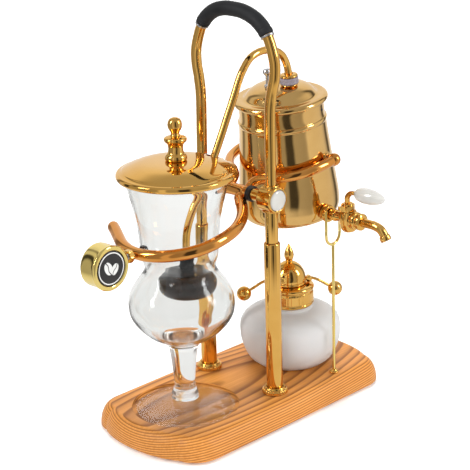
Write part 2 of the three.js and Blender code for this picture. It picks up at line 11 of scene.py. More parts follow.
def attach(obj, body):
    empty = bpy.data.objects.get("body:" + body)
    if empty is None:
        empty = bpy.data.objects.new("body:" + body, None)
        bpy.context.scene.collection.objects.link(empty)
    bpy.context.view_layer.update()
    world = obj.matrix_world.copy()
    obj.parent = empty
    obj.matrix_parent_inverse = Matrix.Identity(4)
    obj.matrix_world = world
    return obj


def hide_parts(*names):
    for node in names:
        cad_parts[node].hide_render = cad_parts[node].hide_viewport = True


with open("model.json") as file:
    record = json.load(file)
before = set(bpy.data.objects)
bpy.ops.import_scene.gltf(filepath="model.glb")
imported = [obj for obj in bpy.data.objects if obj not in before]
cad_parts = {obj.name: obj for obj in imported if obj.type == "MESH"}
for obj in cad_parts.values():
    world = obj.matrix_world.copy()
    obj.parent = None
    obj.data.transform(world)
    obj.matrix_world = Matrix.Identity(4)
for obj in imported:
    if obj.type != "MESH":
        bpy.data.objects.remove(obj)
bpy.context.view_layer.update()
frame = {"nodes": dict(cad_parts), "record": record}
NODES = frame["nodes"]
BODY_OF = {n: b for b, names in frame["record"]["behaviour"]["bodies"].items() for n in names}
SLOT_OF = {s["node"]: s["material_slot"] for s in frame["record"]["subparts"]}

# ---------------------------------------------------------------- dimensions
# millimetres, drawn about the middle of the cross shaft; make() moves a
# finished mesh into the shared frame in metres
OX, OY = 21.95, 27.35
GAP = 0.3
BOARD_L, BOARD_W, BOARD_BOTTOM, BOARD_TOP, BOARD_SLOPE = 296, 146.6, 2.5, 24.3, 11.5
XG, XL, COL_Y, SHAFT_Z, SHAFT_R = -76.3, 71, 44.8, 219.6, 4
COL_LOW_R, COL_STEP_Z, COL_UP_R, TEE_R, TEE_FACE_Y = 7.8, 177, 6.2, 12.3, 54
HANDLE_R, HANDLE_TOP_Z, GRIP_R = 5.1, 392.3, 6.9
PIN_X, PIN_Z, PIN_R = 80, 240.4, 2.5
BOIL_X, LEAN, TAP_Z, LIP_R = 68.4, math.radians(-5.65), 190, 45.4
TX = BOIL_X - 2.4
ARM_R = 5.6
WEIGHT_X, WEIGHT_Z, WEIGHT_R, WEIGHT_T = -168.5, 190, 20, 21
LAMP_R = 50.2
SLOT_TURN = math.radians(-12.4)
GUIDE_X, GUIDE_Y = 72.2, -57
PI = math.pi

# ------------------------------------------------------------- mesh builders
# a shape is (vertices as an N x 3 array in mm, faces as tuples)


def refine(profile, crease=34, bevel=0.35, sub=5):
    """Round off a profile: gentle bends become curves, corners get a small bevel."""
    p = [np.array(q, float) for q in profile]
    closed = np.linalg.norm(p[0] - p[-1]) < 1e-6
    if closed:
        p = p[:-1]
    n = len(p)
    sharp = []
    for i in range(n):
        if not closed and i in (0, n - 1):
            sharp.append(True)
            continue
        a, b = p[i] - p[i - 1], p[(i + 1) % n] - p[i]
        la, lb = np.linalg.norm(a), np.linalg.norm(b)
        c = np.clip(a @ b / max(la * lb, 1e-9), -1, 1)
        sharp.append(math.degrees(math.acos(c)) > crease)
    out = []

    def corner(i):
        if not closed and i in (0, n - 1):
            return [p[i]]
        a, b = p[i - 1], p[(i + 1) % n]
        va, vb = a - p[i], b - p[i]
        la, lb = np.linalg.norm(va), np.linalg.norm(vb)
        k = min(bevel, 0.3 * la, 0.3 * lb)
        q0, q2 = p[i] + va / la * k, p[i] + vb / lb * k
        return [(1 - t) ** 2 * q0 + 2 * t * (1 - t) * p[i] + t * t * q2 for t in (0, 1 / 3, 2 / 3, 1)]

    corners = {i: corner(i) for i in range(n) if sharp[i]}
    segs = n if closed else n - 1
    for i in range(segs):
        j = (i + 1) % n
        p1 = corners[i][-1] if sharp[i] else p[i]
        p2 = corners[j][0] if sharp[j] else p[j]
        if sharp[i]:
            out += corners[i]
        else:
            out.append(p[i])
        if sharp[i] and sharp[j]:
            continue
        p0 = 2 * p1 - p2 if sharp[i] else p[i - 1]
        p3 = 2 * p2 - p1 if sharp[j] else p[(j + 1) % n]
        t0 = 0.0
        t1 = t0 + max(np.linalg.norm(p1 - p0), 1e-6) ** 0.5
        t2 = t1 + max(np.linalg.norm(p2 - p1), 1e-6) ** 0.5
        t3 = t2 + max(np.linalg.norm(p3 - p2), 1e-6) ** 0.5
        for k in range(1, sub):
            t = t1 + (t2 - t1) * k / sub
            a1 = (t1 - t) / (t1 - t0) * p0 + (t - t0) / (t1 - t0) * p1
            a2 = (t2 - t) / (t2 - t1) * p1 + (t - t1) / (t2 - t1) * p2
            a3 = (t3 - t) / (t3 - t2) * p2 + (t - t2) / (t3 - t2) * p3
            b1 = (t2 - t) / (t2 - t0) * a1 + (t - t0) / (t2 - t0) * a2
            b2 = (t3 - t) / (t3 - t1) * a2 + (t - t1) / (t3 - t1) * a3
            out.append((t2 - t) / (t2 - t1) * b1 + (t - t1) / (t2 - t1) * b2)
    if closed:
        out.append(out[0])
    else:
        out += corners[n - 1]
    return [(max(q[0], 0.0) if q[0] > 1e-4 else 0.0, q[1]) for q in out]


def lathe(profile, seg=96, fine=True, crease=34, bevel=0.35, sub=5, a0=0.0, a1=2 * PI, wave=None):
    pr = refine(profile, crease, bevel, sub) if fine else [tuple(q) for q in profile]
    whole = abs(a1 - a0 - 2 * PI) < 1e-6
    loop = math.hypot(pr[0][0] - pr[-1][0], pr[0][1] - pr[-1][1]) < 1e-6
    if loop:
        pr = pr[:-1]
    cols = seg if whole else seg + 1
    V, rows = [], []
    for i, (r, z) in enumerate(pr):
        if r == 0:
            rows.append([len(V)] * cols)
            V.append((0, 0, z))
            continue
        row = []
        for k in range(cols):
            a = a0 + (a1 - a0) * k / seg
            rr = r + (wave(r, z, a) if wave else 0)
            row.append(len(V))
            V.append((rr * math.sin(a), -rr * math.cos(a), z))
        rows.append(row)
    F = []
    m = len(rows)
    for i in range(m if loop else m - 1):
        ra, rb = rows[i], rows[(i + 1) % m]
        for k in range(seg):
            q = [ra[k], ra[(k + 1) % cols], rb[(k + 1) % cols], rb[k]]
            u = []
            for x in q:
                if x not in u:
                    u.append(x)
            if len(u) > 2:
                F.append(tuple(u))
    if not whole:
        pts = [Vector((pr[i][0], 0, pr[i][1])) for i in range(m)]
        for tri in tessellate_polygon([pts]):
            F.append(tuple(rows[i][0] for i in tri))
            F.append(tuple(rows[i][-1] for i in reversed(tri)))
    return np.array(V, float), F


def rod(r, z0, z1, seg=48, bevel=0.3):
    return lathe([[0, z0], [r, z0], [r, z1], [0, z1]], seg, bevel=bevel)


def ring(r0, r1, z0, z1, seg=64, bevel=0.3):
    return lathe([[r0, z0], [r1, z0], [r1, z1], [r0, z1], [r0, z0]], seg, bevel=bevel)


def at(s, x=0, y=0, z=0):
    return s[0] + np.array([x, y, z], float), s[1]


def along_y(s):
    v = s[0]
    return np.stack([v[:, 0], -v[:, 2], v[:, 1]], 1), s[1]


def along_x(s):
    v = s[0]
    return np.stack([v[:, 2], v[:, 1], -v[:, 0]], 1), s[1]


def turn_z(s, a):
    v, c, d = s[0], math.cos(a), math.sin(a)
    return np.stack([v[:, 0] * c - v[:, 1] * d, v[:, 0] * d + v[:, 1] * c, v[:, 2]], 1), s[1]


def turn_y(s, a):
    v, c, d = s[0], math.cos(a), math.sin(a)
    return np.stack([v[:, 0] * c + v[:, 2] * d, v[:, 1], -v[:, 0] * d + v[:, 2] * c], 1), s[1]


def turn_x(s, a):
    v, c, d = s[0], math.cos(a), math.sin(a)
    return np.stack([v[:, 0], v[:, 1] * c - v[:, 2] * d, v[:, 1] * d + v[:, 2] * c], 1), s[1]


def catmull(points, n):
    """n + 1 evenly spaced points on a uniform Catmull-Rom curve."""
    p = [np.array(q, float) for q in points]
    p = [2 * p[0] - p[1]] + p + [2 * p[-1] - p[-2]]
    fine = []
    for i in range(1, len(p) - 2):
        for k in range(24):
            t = k / 24
            m1, m2 = 0.5 * (p[i + 1] - p[i - 1]), 0.5 * (p[i + 2] - p[i])
            fine.append((2 * t**3 - 3 * t**2 + 1) * p[i] + (t**3 - 2 * t**2 + t) * m1
                        + (-2 * t**3 + 3 * t**2) * p[i + 1] + (t**3 - t**2) * m2)
    fine.append(p[-2])
    return spaced(fine, n)


def spaced(fine, n):
    fine = np.array(fine)
    d = np.concatenate([[0], np.cumsum(np.linalg.norm(np.diff(fine, axis=0), axis=1))])
    s = np.linspace(0, d[-1], n + 1)
    return np.stack([np.interp(s, d, fine[:, k]) for k in range(3)], 1)


def span(points, u0, u1, n):
    """The stretch of a Catmull-Rom curve from parameter u0 to u1 (0 to 1 over all points)."""
    m = len(points) - 1
    p = [np.array(q, float) for q in points]
    p = [2 * p[0] - p[1]] + p + [2 * p[-1] - p[-2]]
    out = []
    for k in range(n * 4 + 1):
        u = (u0 + (u1 - u0) * k / (n * 4)) * m
        i = min(int(u), m - 1)
        t = u - i
        i += 1
        m1, m2 = 0.5 * (p[i + 1] - p[i - 1]), 0.5 * (p[i + 2] - p[i])
        out.append((2 * t**3 - 3 * t**2 + 1) * p[i] + (t**3 - 2 * t**2 + t) * m1
                   + (-2 * t**3 + 3 * t**2) * p[i + 1] + (t**3 - t**2) * m2)
    return spaced(out, n)


def tube(path, r, seg=28, r_in=0.0, ends=0.5):
    """A round tube along a list of points; r is a number or a function of 0..1. ends: bevel at each end."""
    path = np.array(path, float)
    n = len(path)
    tan = np.gradient(path, axis=0)
    tan /= np.linalg.norm(tan, axis=1)[:, None]
    ref = np.array([0, 0, 1.0]) if abs(tan[0][2]) < 0.9 else np.array([1.0, 0, 0])
    nrm = np.cross(tan[0], ref)
    nrm /= np.linalg.norm(nrm)
    N = [nrm]
    for i in range(1, n):
        v = N[-1] - tan[i] * (N[-1] @ tan[i])
        N.append(v / np.linalg.norm(v))
    rf = r if callable(r) else (lambda u: r)
    stations = []
    for i in range(n):
        stations.append((path[i], tan[i], N[i], rf(i / (n - 1))))
    e = min(ends, 0.45 * stations[0][3])
    p0, t0, n0, r0 = stations[0]
    p1, t1, n1, r1 = stations[-1]
    head = [(p0, t0, n0, r0 - e), (p0 + t0 * e * 0.3, t0, n0, r0 - e * 0.3), (p0 + t0 * e, t0, n0, r0)]
    tail = [(p1 - t1 * e, t1, n1, r1), (p1 - t1 * e * 0.3, t1, n1, r1 - e * 0.3), (p1, t1, n1, r1 - e)]
    outer = head + stations[1:-1] + tail
    V, F, rows = [], [], []

    def circle(st, rad):
        p, t, a, _ = st
        b = np.cross(t, a)
        row = []
        for k in range(seg):
            g = 2 * PI * k / seg
            row.append(len(V))
            V.append(p + rad * (math.cos(g) * a + math.sin(g) * b))
        return row

    for st in outer:
        rows.append(circle(st, st[3]))
    if r_in > 0:
        for st in reversed(stations):
            rows.append(circle(st, r_in))
        rows.append(rows[0])
    for ra, rb in zip(rows, rows[1:]):
        for k in range(seg):
            F.append((ra[k], ra[(k + 1) % seg], rb[(k + 1) % seg], rb[k]))
    if r_in == 0:
        F.append(tuple(reversed(rows[0])))
        F.append(tuple(rows[-1]))
    return np.array(V), F


def ball(r, seg=40, squash_z=1.0):
    pr = [[0, -r * squash_z]] + [[r * math.cos(a), r * squash_z * math.sin(a)]
                                 for a in np.linspace(-PI / 2, PI / 2, seg // 2 + 1)[1:-1]] + [[0, r * squash_z]]
    return lathe(pr, seg, fine=False)


def join(*shapes):
    V, F, n = [], [], 0
    for v, f in shapes:
        V.append(v)
        F += [tuple(i + n for i in q) for q in f]
        n += len(v)
    return np.concatenate(V), F


def leaned(s):
    """Boiler pieces lean about the trunnions."""
    v = turn_y(at(s, -PIN_X, 0, -PIN_Z), LEAN)
    return at(v, PIN_X, 0, PIN_Z)


def make(name, shape, body, material, sharp=40, nodes=()):
    v = (shape[0] + np.array([OX, OY, 0])) / 1000
    me = bpy.data.meshes.new(name)
    me.from_pydata([tuple(q) for q in v], [], [list(f) for f in shape[1]])
    me.validate()
    bm = bmesh.new()
    bm.from_mesh(me)
    bmesh.ops.remove_doubles(bm, verts=bm.verts, dist=1e-7)
    bmesh.ops.recalc_face_normals(bm, faces=bm.faces)
    for f in bm.faces:
        f.smooth = True
    lim = math.radians(sharp)
    for e in bm.edges:
        if len(e.link_faces) == 2 and e.calc_face_angle(0) > lim:
            e.smooth = False
    bm.to_mesh(me)
    bm.free()
    me.materials.append(material)
    o = bpy.data.objects.new(name, me)
    bpy.context.scene.collection.objects.link(o)
    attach(o, body)
    if nodes:
        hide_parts(*nodes)
    return o


def swap(node, shape, material, sharp=40, name=None):
    """A finished mesh in place of one CAD node."""
    return make(name or "look_" + node, shape, BODY_OF[node], material, sharp, (node,))


# ----------------------------------------------------------------- materials
class Nodes:
    """Short hands for building a node tree."""

    def __init__(self, name):
        self.m = bpy.data.materials.new(name)
        self.m.use_nodes = True
        self.t = self.m.node_tree
        self.p = self.t.nodes["Principled BSDF"]
        self.co = self.t.nodes.new("ShaderNodeTexCoord").outputs["Object"]

    def n(self, kind, **kw):
        x = self.t.nodes.new("ShaderNode" + kind)
        for k, val in kw.items():
            if hasattr(x, k):
                setattr(x, k, val)
            else:
                x.inputs[k].default_value = val
        return x

    def link(self, a, b):
        self.t.links.new(a, b)

    def mapped(self, scale=(1, 1, 1), rot=(0, 0, 0), loc=(0, 0, 0), src=None):
        x = self.t.nodes.new("ShaderNodeMapping")
        x.inputs["Scale"].default_value = scale
        x.inputs["Rotation"].default_value = rot
        x.inputs["Location"].default_value = loc
        self.link(src or self.co, x.inputs["Vector"])
        return x.outputs["Vector"]

    def noise(self, scale, detail=2.0, rough=0.5, vec=None, distortion=0.0):
        x = self.t.nodes.new("ShaderNodeTexNoise")
        x.inputs["Scale"].default_value = scale
        x.inputs["Detail"].default_value = detail
        x.inputs["Roughness"].default_value = rough
        x.inputs["Distortion"].default_value = distortion
        self.link(vec or self.co, x.inputs["Vector"])
        return x.outputs["Fac"]

    def ramp(self, fac, stops, interp="LINEAR"):
        x = self.t.nodes.new("ShaderNodeValToRGB")
        r = x.color_ramp
        r.interpolation = interp
        while len(r.elements) < len(stops):
            r.elements.new(0.5)
        for e, (pos, col) in zip(r.elements, stops):
            e.position = pos
            e.color = (*col, 1) if hasattr(col, "__len__") else (col, col, col, 1)
        self.link(fac, x.inputs["Fac"])
        return x.outputs["Color"]

    def mix(self, fac, a, b, mode="MIX"):
        x = self.t.nodes.new("ShaderNodeMix")
        x.data_type = "RGBA"
        x.blend_type = mode
        for s, val in ((0, fac), (6, a), (7, b)):
            if isinstance(val, (int, float)):
                x.inputs[s].default_value = val if s == 0 else (val, val, val, 1)
            elif isinstance(val, tuple):
                x.inputs[s].default_value = (*val, 1)
            else:
                self.link(val, x.inputs[s])
        return x.outputs[2]

    def bump(self, height, strength, distance, normal=None):
        x = self.t.nodes.new("ShaderNodeBump")
        x.inputs["Strength"].default_value = strength
        x.inputs["Distance"].default_value = distance
        self.link(height, x.inputs["Height"])
        if normal is not None:
            self.link(normal, x.inputs["Normal"])
        return x.outputs["Normal"]

    def setp(self, **kw):
        for k, val in kw.items():
            self.p.inputs[k.replace("_", " ")].default_value = val

    def out(self, **kw):
        for k, val in kw.items():
            self.link(val, self.p.inputs[k.replace("_", " ")])


def gold(name, light, dark, rough=(0.05, 0.11), stretch=(1, 1, 1), ripple=0.0006):
    n = Nodes(name)
    n.setp(Metallic=1.0)
    tone = n.noise(26, 3, 0.55)
    n.out(Base_Color=n.ramp(tone, [(0.3, dark), (0.72, light)]))
    smudge = n.noise(55, 4, 0.6, distortion=0.6)
    n.out(Roughness=n.ramp(smudge, [(0.35, rough[0]), (0.8, rough[1])]))
    wob = n.noise(38, 1, 0.4)
    b1 = n.bump(wob, 0.35, ripple)
    scr = n.noise(900, 2, 0.6, vec=n.mapped(scale=stretch))
    n.out(Normal=n.bump(scr, 0.06, 0.00003, b1))
    return n.m


GOLD = gold("polished_brass", (0.85, 0.50, 0.135), (0.77, 0.42, 0.095))
COPPERY = gold("beam_brass", (0.80, 0.37, 0.095), (0.70, 0.28, 0.055))
DARK_GOLD = gold("boiler_brass", (0.83, 0.53, 0.195), (0.73, 0.44, 0.148), rough=(0.07, 0.15), stretch=(0.05, 0.05, 4), ripple=0.0009)
PALE_GOLD = gold("weight_brass", (0.92, 0.74, 0.28), (0.88, 0.66, 0.20), rough=(0.05, 0.12))


def steel(name, col=(0.62, 0.62, 0.64), rough=(0.22, 0.36)):
    n = Nodes(name)
    n.setp(Metallic=1.0)
    t = n.noise(60, 3)
    n.out(Base_Color=n.ramp(t, [(0.3, tuple(c * 0.82 for c in col)), (0.7, col)]))
    g = n.noise(1400, 2, 0.6, vec=n.mapped(scale=(1, 0.04, 1)))
    n.out(Roughness=n.ramp(g, [(0.3, rough[0]), (0.7, rough[1])]))
    n.out(Normal=n.bump(g, 0.15, 0.00004))
    return n.m


STEEL = steel("brushed_steel")


def plastic(name, a, b, rough=(0.35, 0.5), grain=700, bump=0.2, coat=0.0):
    n = Nodes(name)
    t = n.noise(45, 4, 0.6)
    n.out(Base_Color=n.ramp(t, [(0.32, a), (0.72, b)]))
    g = n.noise(grain, 3, 0.55)
    n.out(Roughness=n.ramp(n.noise(90, 4, 0.6), [(0.3, rough[0]), (0.75, rough[1])]))
    n.out(Normal=n.bump(g, bump, 0.00012))
    if coat:
        n.setp(Coat_Weight=coat, Coat_Roughness=0.08)
    return n.m


BLACK = plastic("black_plastic", (0.010, 0.009, 0.009), (0.028, 0.025, 0.024), rough=(0.28, 0.42))
RUBBER = plastic("grip_rubber", (0.006, 0.0063, 0.007), (0.015, 0.0155, 0.017), rough=(0.5, 0.66), grain=1100, bump=0.45)
FEET = plastic("foot_rubber", (0.02, 0.02, 0.02), (0.05, 0.05, 0.05), rough=(0.6, 0.8), grain=900, bump=0.5)
SEAL = plastic("silicone", (0.22, 0.19, 0.22), (0.34, 0.30, 0.34), rough=(0.38, 0.55), grain=600, bump=0.15)
FILTER = plastic("filter_dark", (0.014, 0.006, 0.003), (0.038, 0.018, 0.009), rough=(0.16, 0.3), grain=500, bump=0.1, coat=0.2)
PORCELAIN = plastic("porcelain", (0.45, 0.44, 0.41), (0.53, 0.52, 0.49), rough=(0.10, 0.2), grain=160, bump=0.05, coat=0.8)


def wood():
    """Orange-brown softwood: growth rings about an axis far below the board, so
    the lines run along X on the top and sweep round the sloping sides."""
    n = Nodes("oiled_wood")
    sep = n.n("SeparateXYZ")
    warp = n.noise(5.5, 2, 0.5, vec=n.mapped(scale=(0.55, 1, 1)))
    warp2 = n.noise(16, 2, 0.5, vec=n.mapped(scale=(0.3, 1, 1), loc=(3, 1, 0)))
    n.link(n.co, sep.inputs[0])

    def mth(op, a, b=None):
        x = n.t.nodes.new("ShaderNodeMath")
        x.operation = op
        for i, val in enumerate((a, b)):
            if val is None:
                continue
            if isinstance(val, (int, float)):
                x.inputs[i].default_value = val
            else:
                n.link(val, x.inputs[i])
        return x.outputs[0]

    y = mth("ADD", sep.outputs["Y"], mth("MULTIPLY", mth("SUBTRACT", warp, 0.5), 0.05))
    y = mth("ADD", y, mth("MULTIPLY", mth("SUBTRACT", warp2, 0.5), 0.006))
    dy = mth("SUBTRACT", y, 0.034)
    dz = mth("MULTIPLY", mth("SUBTRACT", sep.outputs["Z"], 0.115), 1.5)
    bend = mth("MULTIPLY", mth("POWER", mth("ABSOLUTE", mth("ADD", sep.outputs["X"], 0.03)), 2.0), 0.30)
    rad = mth("ADD", mth("SQRT", mth("ADD", mth("MULTIPLY", dy, dy), mth("MULTIPLY", dz, dz))), bend)
    ph = mth("FRACT", mth("MULTIPLY", rad, 315))
    late = n.ramp(ph, [(0.0, 0.05), (0.30, 0.06), (0.58, 0.42), (0.78, 0.95), (0.90, 1.0), (0.97, 0.35), (1.0, 0.05)])
    fib = n.noise(420, 5, 0.65, vec=n.mapped(scale=(0.035, 1, 1)))
    fib2 = n.noise(1500, 3, 0.6, vec=n.mapped(scale=(0.02, 1, 1), loc=(1, 2, 3)))
    base = n.ramp(fib, [(0.25, (0.58, 0.225, 0.042)), (0.5, (0.69, 0.290, 0.063)), (0.78, (0.79, 0.365, 0.096))])
    line = n.ramp(fib2, [(0.3, (0.16, 0.042, 0.008)), (0.7, (0.25, 0.072, 0.015))])
    amount = mth("MULTIPLY", late, 0.84)
    col = n.mix(amount, base, line)
    broad = n.ramp(n.noise(9, 3, 0.5, vec=n.mapped(scale=(0.35, 1, 1))), [(0.3, 0.86), (0.7, 1.08)])
    n.out(Base_Color=n.mix(1.0, col, broad, "MULTIPLY"))
    n.out(Roughness=n.ramp(fib, [(0.3, 0.36), (0.7, 0.5)]))
    b = n.bump(fib2, 0.25, 0.00008)
    n.out(Normal=n.bump(late, 0.18, 0.00012, b))
    n.setp(Specular_IOR_Level=0.22)
    return n.m


WOOD = wood()


def clear_glass(name="clear_glass", alpha=1.0):
    n = Nodes(name)
    n.setp(Alpha=alpha)
    n.setp(Transmission_Weight=1.0, IOR=1.47, Specular_Tint=(0.45, 0.46, 0.46, 1.0))
    tint = n.noise(18, 2)
    n.out(Base_Color=n.ramp(tint, [(0.3, (0.955, 0.972, 0.968)), (0.7, (0.985, 0.99, 0.988))]))
    n.out(Roughness=n.ramp(n.noise(70, 4, 0.6), [(0.45, 0.0), (0.9, 0.008)]))
    n.out(Normal=n.bump(n.noise(24, 2, 0.5), 0.06, 0.0005))
    return n.m


def frosted_glass():
    n = Nodes("frosted_glass")
    n.setp(Transmission_Weight=0.18, IOR=1.4, Subsurface_Weight=0.55, Subsurface_Scale=0.03, Subsurface_Radius=(1.0, 0.95, 0.9), Alpha=0.93)
    n.out(Base_Color=n.ramp(n.noise(30, 3), [(0.3, (0.93, 0.915, 0.90)), (0.7, (0.97, 0.96, 0.95))]))
    n.out(Roughness=n.ramp(n.noise(120, 4, 0.6), [(0.3, 0.38), (0.75, 0.5)]))
    n.out(Normal=n.bump(n.noise(2200, 2, 0.6), 0.3, 0.00006))
    return n.m


def cotton():
    n = Nodes("cotton")
    w = n.n("TexWave")
    w.inputs["Scale"].default_value = 900
    w.inputs["Distortion"].default_value = 4
    n.link(n.co, w.inputs["Vector"])
    n.out(Base_Color=n.ramp(w.outputs["Fac"], [(0.2, (0.62, 0.58, 0.5)), (0.8, (0.84, 0.8, 0.72))]))
    n.out(Normal=n.bump(w.outputs["Fac"], 0.5, 0.0002))
    n.setp(Roughness=0.95, Sheen_Weight=0.3)
    return n.m


CLEAR = clear_glass()
CLEAR_FOOT = clear_glass("clear_glass_foot", 0.22)
FROST = frosted_glass()
COTTON = cotton()
for mt, lev in ((RUBBER, 0.25), (FILTER, 0.35), (BLACK, 0.4)):
    mt.node_tree.nodes["Principled BSDF"].inputs["Specular IOR Level"].default_value = lev
LIGHT_INK = plastic("badge_ink", (0.60, 0.60, 0.58), (0.74, 0.74, 0.72), rough=(0.35, 0.5), grain=400, bump=0.1)
BY_SLOT = {"wood": WOOD, "foot_rubber": FEET, "polished_brass": GOLD, "boiler_brass": DARK_GOLD, "weight_brass": PALE_GOLD,
           "steel": STEEL, "black_plastic": BLACK, "grip_rubber": RUBBER, "porcelain": PORCELAIN, "clear_glass": CLEAR,
           "frosted_glass": FROST, "silicone": SEAL, "filter_dark": FILTER, "cotton": COTTON}
for nm, o in NODES.items():
    mat = BY_SLOT[SLOT_OF[nm]]
    if not o.material_slots:
        o.data.materials.append(mat)
    for s in o.material_slots:
        s.material = mat

# ---------------------------------------------------------------- base board
def board_outline(half_l, half_w, bulge, corner, n=40):
    xs = half_l - bulge
    pts = []

    def quad(a, b, c, k):
        for i in range(k):
            t = i / k
            pts.append(((1 - t) ** 2 * a[0] + 2 * t * (1 - t) * b[0] + t * t * c[0],
                        (1 - t) ** 2 * a[1] + 2 * t * (1 - t) * b[1] + t * t * c[1]))

    def cubic(a, b, c, d, k):
        for i in range(k):
            t = i / k
            w = ((1 - t) ** 3, 3 * t * (1 - t) ** 2, 3 * t * t * (1 - t), t**3)
            pts.append(tuple(w[0] * a[j] + w[1] * b[j] + w[2] * c[j] + w[3] * d[j] for j in (0, 1)))

    def line(a, b, k):
        for i in range(k):
            t = i / k
            pts.append((a[0] + (b[0] - a[0]) * t, a[1] + (b[1] - a[1]) * t))

    A, B = (-xs + corner, -half_w), (xs - corner, -half_w)
    line(A, B, 30)
    quad(B, (xs, -half_w), (xs + 1.5, -half_w + corner), 12)
    cubic((xs + 1.5, -half_w + corner), (half_l + 1, -half_w * 0.42), (half_l + 1, half_w * 0.42), (xs + 1.5, half_w - corner), n)
    quad((xs + 1.5, half_w - corner), (xs, half_w), (xs - corner, half_w), 12)
    line((xs - corner, half_w), (-xs + corner, half_w), 30)
    quad((-xs + corner, half_w), (-xs, half_w), (-xs - 1.5, half_w - corner), 12)
    cubic((-xs - 1.5, half_w - corner), (-half_l - 1, half_w * 0.42), (-half_l - 1, -half_w * 0.42), (-xs - 1.5, -half_w + corner), n)
    quad((-xs - 1.5, -half_w + corner), (-xs, -half_w), A, 12)
    return np.array(pts)


def base_board():
    o = board_outline(BOARD_L / 2 - BOARD_SLOPE, BOARD_W / 2 - BOARD_SLOPE, 14, 17)
    nxt, prv = np.roll(o, -1, 0), np.roll(o, 1, 0)
    t = nxt - prv
    nrm = np.stack([t[:, 1], -t[:, 0]], 1)
    nrm /= np.linalg.norm(nrm, axis=1)[:, None]
    for _ in range(3):
        nrm = nrm + 0.5 * (np.roll(nrm, 1, 0) + np.roll(nrm, -1, 0))
        nrm /= np.linalg.norm(nrm, axis=1)[:, None]
    h = BOARD_TOP - BOARD_BOTTOM
    levels = [(0.0, 0.0)] + [(BOARD_SLOPE * math.sin(u * PI / 2), h * (1 - math.cos(u * PI / 2))) for u in np.linspace(0.06, 0.985, 22)]
    levels += [(BOARD_SLOPE - 0.1, h - 0.35), (BOARD_SLOPE - 0.9, h)]
    V, F = [], []
    m = len(o)
    for s, d in levels:
        for q in o + nrm * s:
            V.append((q[0], q[1], BOARD_TOP - d))
    for i in range(len(levels) - 1):
        for k in range(m):
            a, b = i * m + k, i * m + (k + 1) % m
            F.append((a, b, b + m, a + m))
    F.append(tuple((len(levels) - 1) * m + k for k in range(m)))
    # recess for the goblet's foot
    hole = []
    R = [(50.8 + 0.5, BOARD_TOP), (50.8 + 0.15, BOARD_TOP - 0.15), (50.8, BOARD_TOP - 0.5), (50.8, BOARD_TOP - 2.6), (50.3, BOARD_TOP - 3)]
    K = 128
    rows = []
    for r, z in R:
        row = []
        for k in range(K):
            a = 2 * PI * k / K
            row.append(len(V))
            V.append((XG + r * math.cos(a), r * math.sin(a), z))
        rows.append(row)
    for ra, rb in zip(rows, rows[1:]):
        for k in range(K):
            F.append((ra[k], ra[(k + 1) % K], rb[(k + 1) % K], rb[k]))
    F.append(tuple(rows[-1]))
    outer = [Vector(V[k]) for k in range(m)]
    inner = [Vector(V[i]) for i in reversed(rows[0])]
    ids = list(range(m)) + list(reversed(rows[0]))
    for tri in tessellate_polygon([outer, inner]):
        F.append(tuple(ids[i] for i in tri))
    return np.array(V), F


swap("base_board", base_board(), WOOD, sharp=42)
for i, (x, y) in enumerate([(-112, -48), (112, -48), (-112, 48), (112, 48)]):
    swap(f"foot_pad_{i + 1}", at(lathe([[0, 0], [8.4, 0], [9, 0.6], [9, BOARD_BOTTOM - GAP], [0, BOARD_BOTTOM - GAP]], 48), x, y, 0), FEET)

